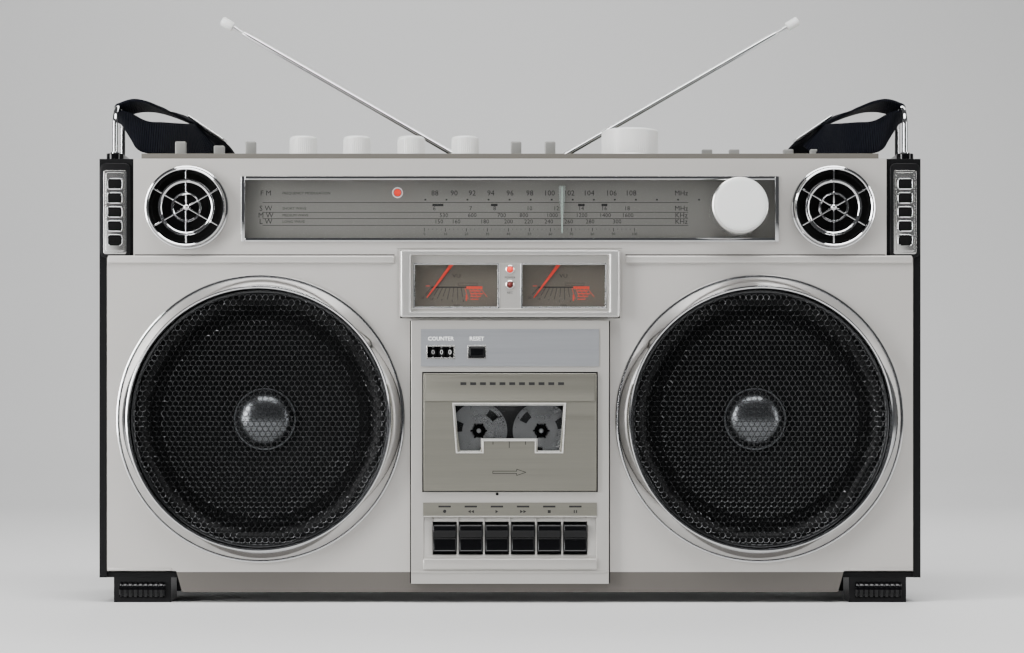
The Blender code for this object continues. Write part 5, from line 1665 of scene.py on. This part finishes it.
def webbing_piece(name, stations, both_halves):
    """A ribbed band along stations, with its length in metres in its UV map."""
    centres = curve_through([place for place, _, _ in stations])
    ways = curve_through([way for _, way, _ in stations])
    widths = [value.x for value in curve_through([(width, 0, 0) for _, _, width in stations])]
    if both_halves:
        flip = Matrix.Diagonal((-1, 1, 1))
        centres += [flip @ point for point in reversed(centres[:-1])]
        ways += [flip @ way for way in reversed(ways[:-1])]
        widths += list(reversed(widths[:-1]))
    shape = bmesh.new()
    uv = shape.loops.layers.uv.new("webbing")
    across = 6
    length = 0.0
    rows = []
    travelled = []
    for i, (centre, way, width) in enumerate(zip(centres, ways, widths)):
        if i:
            length += (centre - centres[i - 1]).length
        travelled.append(length)
        reach = way.normalized() * width / 2
        rows.append([
            shape.verts.new(centre + reach * (2 * j / across - 1)) for j in range(across + 1)
        ])
    for i in range(len(rows) - 1):
        for j in range(across):
            face = shape.faces.new((rows[i][j], rows[i][j + 1], rows[i + 1][j + 1], rows[i + 1][j]))
            spots = ((j, i), (j + 1, i), (j + 1, i + 1), (j, i + 1))
            for loop, (u, v) in zip(face.loops, spots):
                loop[uv].uv = (u / across * STRAP_WIDTH, travelled[v])
    piece = new_piece(name, shape, WEBBING, smooth=60.0, clean=False)
    wall = piece.modifiers.new("Webbing", "SOLIDIFY")
    wall.thickness = STRAP_THICK
    wall.offset = 0.0
    soften(piece, 0.0005, 2, 60.0)
    return piece, length


def mirrored(stations):
    flipped = []
    for (x, y, z), (a, b, c), width in stations:
        flipped.append(((-x, y, z), (-a, b, c), width))
    return flipped


def build_strap():
    for side in ("left", "right"):
        node = f"strap_post_{side}"
        low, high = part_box(node)
        foot_top = low.z + 0.0056
        shape = copy_of_node(node)
        for face in shape.faces:
            face.material_index = 1 if face.calc_center_median().z < foot_top else 0
        post = new_piece(node + "_fine", shape, [CHROME, GLOSS_BLACK], node=node, smooth=50.0,
                         clean=False)
        soften(post, 0.0014, 4, 55.0)
        centre = middle(node)
        washers = bmesh.new()
        for leg in (-1, 1):
            ring = [
                (0.0034, foot_top - 0.0002), (0.0032, foot_top + 0.0008), (0.0026, foot_top + 0.0012),
                (0.0019, foot_top + 0.0012), (0.0019, foot_top - 0.0002),
            ]
            turn_into(washers, ring, standing(centre.x, centre.y + leg * 0.015, 0.0), 32, closed=True)
        new_piece(f"strap_post_{side}_washers", washers, CHROME)

    band, length = webbing_piece("strap_band", upper_stations(), True)
    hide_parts("strap")
    for side, stations in (("left", lower_stations()), ("right", mirrored(lower_stations()))):
        tail, length = webbing_piece(f"strap_tail_{side}", stations, False)

    for sign, word in ((1, "left"), (-1, "right")):
        buckle = bmesh.new()
        long_way = Vector((0.83, 0.0, -0.56)).normalized()
        short_way = Vector((0.08, 0.99, -0.02)).normalized()
        centre = Vector((-0.2168, 0.0182, 0.3331))
        corners = [
            centre + long_way * a * 0.0146 + short_way * b * 0.0056
            for a, b in ((-1, -1), (1, -1), (1, 1), (-1, 1))
        ]
        for i in range(4):
            rod_into(buckle, corners[i], corners[(i + 1) % 4], 0.0011, 12)
            ball = bmesh.ops.create_uvsphere(buckle, u_segments=12, v_segments=8, radius=0.0011)
            bmesh.ops.translate(buckle, vec=corners[i], verts=ball["verts"])
        rod_into(buckle, centre - long_way * 0.0146, centre + long_way * 0.0146, 0.0011, 12)
        if sign < 0:
            bmesh.ops.scale(buckle, vec=(-1, 1, 1), verts=buckle.verts)
        new_piece(f"strap_buckle_{word}", buckle, CHROME)


def make_webbing():
    """Dark navy ribbed webbing, its ribs counted along the band's own length, with a painted highlight
    on the rib crests.
    """
    material = bpy.data.materials.new("navy_webbing")
    material.use_nodes = True
    tree = material.node_tree
    shader = tree.nodes["Principled BSDF"]
    shader.inputs["Sheen Weight"].default_value = 0.0
    shader.inputs["Specular IOR Level"].default_value = 0.12
    shader.inputs["Sheen Roughness"].default_value = 0.5
    where = tree.nodes.new("ShaderNodeUVMap")
    where.uv_map = "webbing"
    split = tree.nodes.new("ShaderNodeSeparateXYZ")
    tree.links.new(where.outputs["UV"], split.inputs[0])
    ribs = math_node(tree, "MULTIPLY", split.outputs["Y"], 2 * pi / 0.0016)
    ribs = math_node(tree, "SINE", ribs, None)
    weave = math_node(tree, "MULTIPLY", split.outputs["X"], 2 * pi / 0.0009)
    weave = math_node(tree, "SINE", weave, None)
    weave = math_node(tree, "MULTIPLY", weave, 0.3)
    height = math_node(tree, "ADD", ribs, weave)
    # Painted highlight: the colour is made lighter on rib crests and darker in the hollows.
    rib_highlight = math_node(tree, "MULTIPLY", height, 0.5)
    rib_highlight = math_node(tree, "ADD", rib_highlight, 1.0)
    effect = tree.nodes.new("ShaderNodeGroup")
    effect.node_tree = SURFACE
    effect.inputs["Color"].default_value = (0.0011, 0.0019, 0.0055, 1.0)
    effect.inputs["Roughness"].default_value = 0.62
    effect.inputs["Grain"].default_value = 0.3
    place = tree.nodes.new("ShaderNodeTexCoord")
    tree.links.new(place.outputs["Object"], effect.inputs["Vector"])
    colour = shade_node(tree, effect.outputs["Color"], rib_highlight)
    raised = tree.nodes.new("ShaderNodeBump")
    raised.inputs["Strength"].default_value = 0.8
    raised.inputs["Distance"].default_value = 0.0005
    tree.links.new(colour, shader.inputs["Base Color"])
    tree.links.new(effect.outputs["Roughness"], shader.inputs["Roughness"])
    tree.links.new(height, raised.inputs["Height"])
    tree.links.new(raised.outputs["Normal"], shader.inputs["Normal"])
    return material


WEBBING = make_webbing()
build_strap()


# ---- Back, feet and underside ----
INLET_CENTRE = (0.213, BACK, 0.050)


def build_back():
    refined("battery_cover", BLACK, body="battery_cover", width=0.0005, segments=2)
    low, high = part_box("battery_cover")
    ribs = bmesh.new()
    count = 9
    for i in range(count):
        z = low.z + 0.0110 + i * (high.z - low.z - 0.0220) / (count - 1)
        box_into(ribs, (low.x + 0.014, high.y - 0.0003, z - 0.0010),
                 (high.x - 0.014, high.y + 0.0009, z + 0.0010), 0.0005, 2)
    new_piece("battery_cover_ribs", ribs, BLACK, body="battery_cover")

    screws = bmesh.new()
    for x in (-0.255, 0.255):
        for z in (0.038, 0.160, 0.285):
            screw_into(screws, x, BACK, z, 0.0036)
    for x in (-0.125, 0.125):
        for z in (0.030, 0.285):
            screw_into(screws, x, BACK, z, 0.0036)
    new_piece("back_screws", screws, STEEL)

    slats = bmesh.new()
    for side in (-1, 1):
        for i in range(14):
            z = 0.170 + i * 0.0070
            x0, x1 = sorted((side * 0.120, side * 0.235))
            box_into(slats, (x0, BACK - 0.0004, z), (x1, BACK + 0.0006, z + 0.0028), 0.0004, 2)
    new_piece("back_ribs", slats, BLACK)

    place = Vector(INLET_CENTRE)
    inlet = ring_plate(
        (place.x - 0.0150, place.z - 0.0120, place.x + 0.0150, place.z + 0.0120),
        (place.x - 0.0128, place.z - 0.0098, place.x + 0.0128, place.z + 0.0098),
        BACK - 0.0003, BACK + 0.0009,
    )
    piece = new_piece("inlet_frame", inlet, BLACK)
    soften(piece, 0.0005, 2)
    pins = bmesh.new()
    for shift in (-0.0043, 0.0043):
        profile = [
            (0.0, 0.0085), (0.0008, 0.0083), (0.0012, 0.0075), (0.0012, -0.0010), (0.0, -0.0010),
        ]
        turn = Matrix.Rotation(-pi / 2, 4, "X")
        turn_into(pins, profile, Matrix.Translation((place.x + shift, BACK - 0.0118, place.z)) @ turn,
                  20)
    new_piece("inlet_pins", pins, SATIN_CHROME)


def build_feet():
    """Ribbed rollers between the cheeks of the front feet, and pads below all four."""
    for side, word in SIDES:
        x = side * 0.2505
        roller = bmesh.new()
        profile = [(0.0, -0.0155), (0.0055, -0.0155), (0.0062, -0.0148)]
        for i in range(9):
            z = -0.0140 + i * 0.0035
            profile += [(0.0062, z), (0.0056, z + 0.0006), (0.0056, z + 0.0010), (0.0062, z + 0.0016)]
        profile += [(0.0062, 0.0158), (0.0, 0.0158)]
        turn = Matrix.Translation((x, FACE + 0.0060, 0.0085)) @ Matrix.Rotation(pi / 2, 4, "Y")
        turn_into(roller, profile, turn, 32)
        new_piece(f"foot_roller_{word}", roller, GLOSS_BLACK)
        pads = bmesh.new()
        for y in (FACE + 0.0165, BACK - 0.0210):
            box_into(pads, (x - 0.0165, y - 0.0095, 0.0), (x + 0.0165, y + 0.0095, 0.0012), 0.0005, 2)
        new_piece(f"foot_pads_{word}", pads, RUBBER)


build_back()
build_feet()
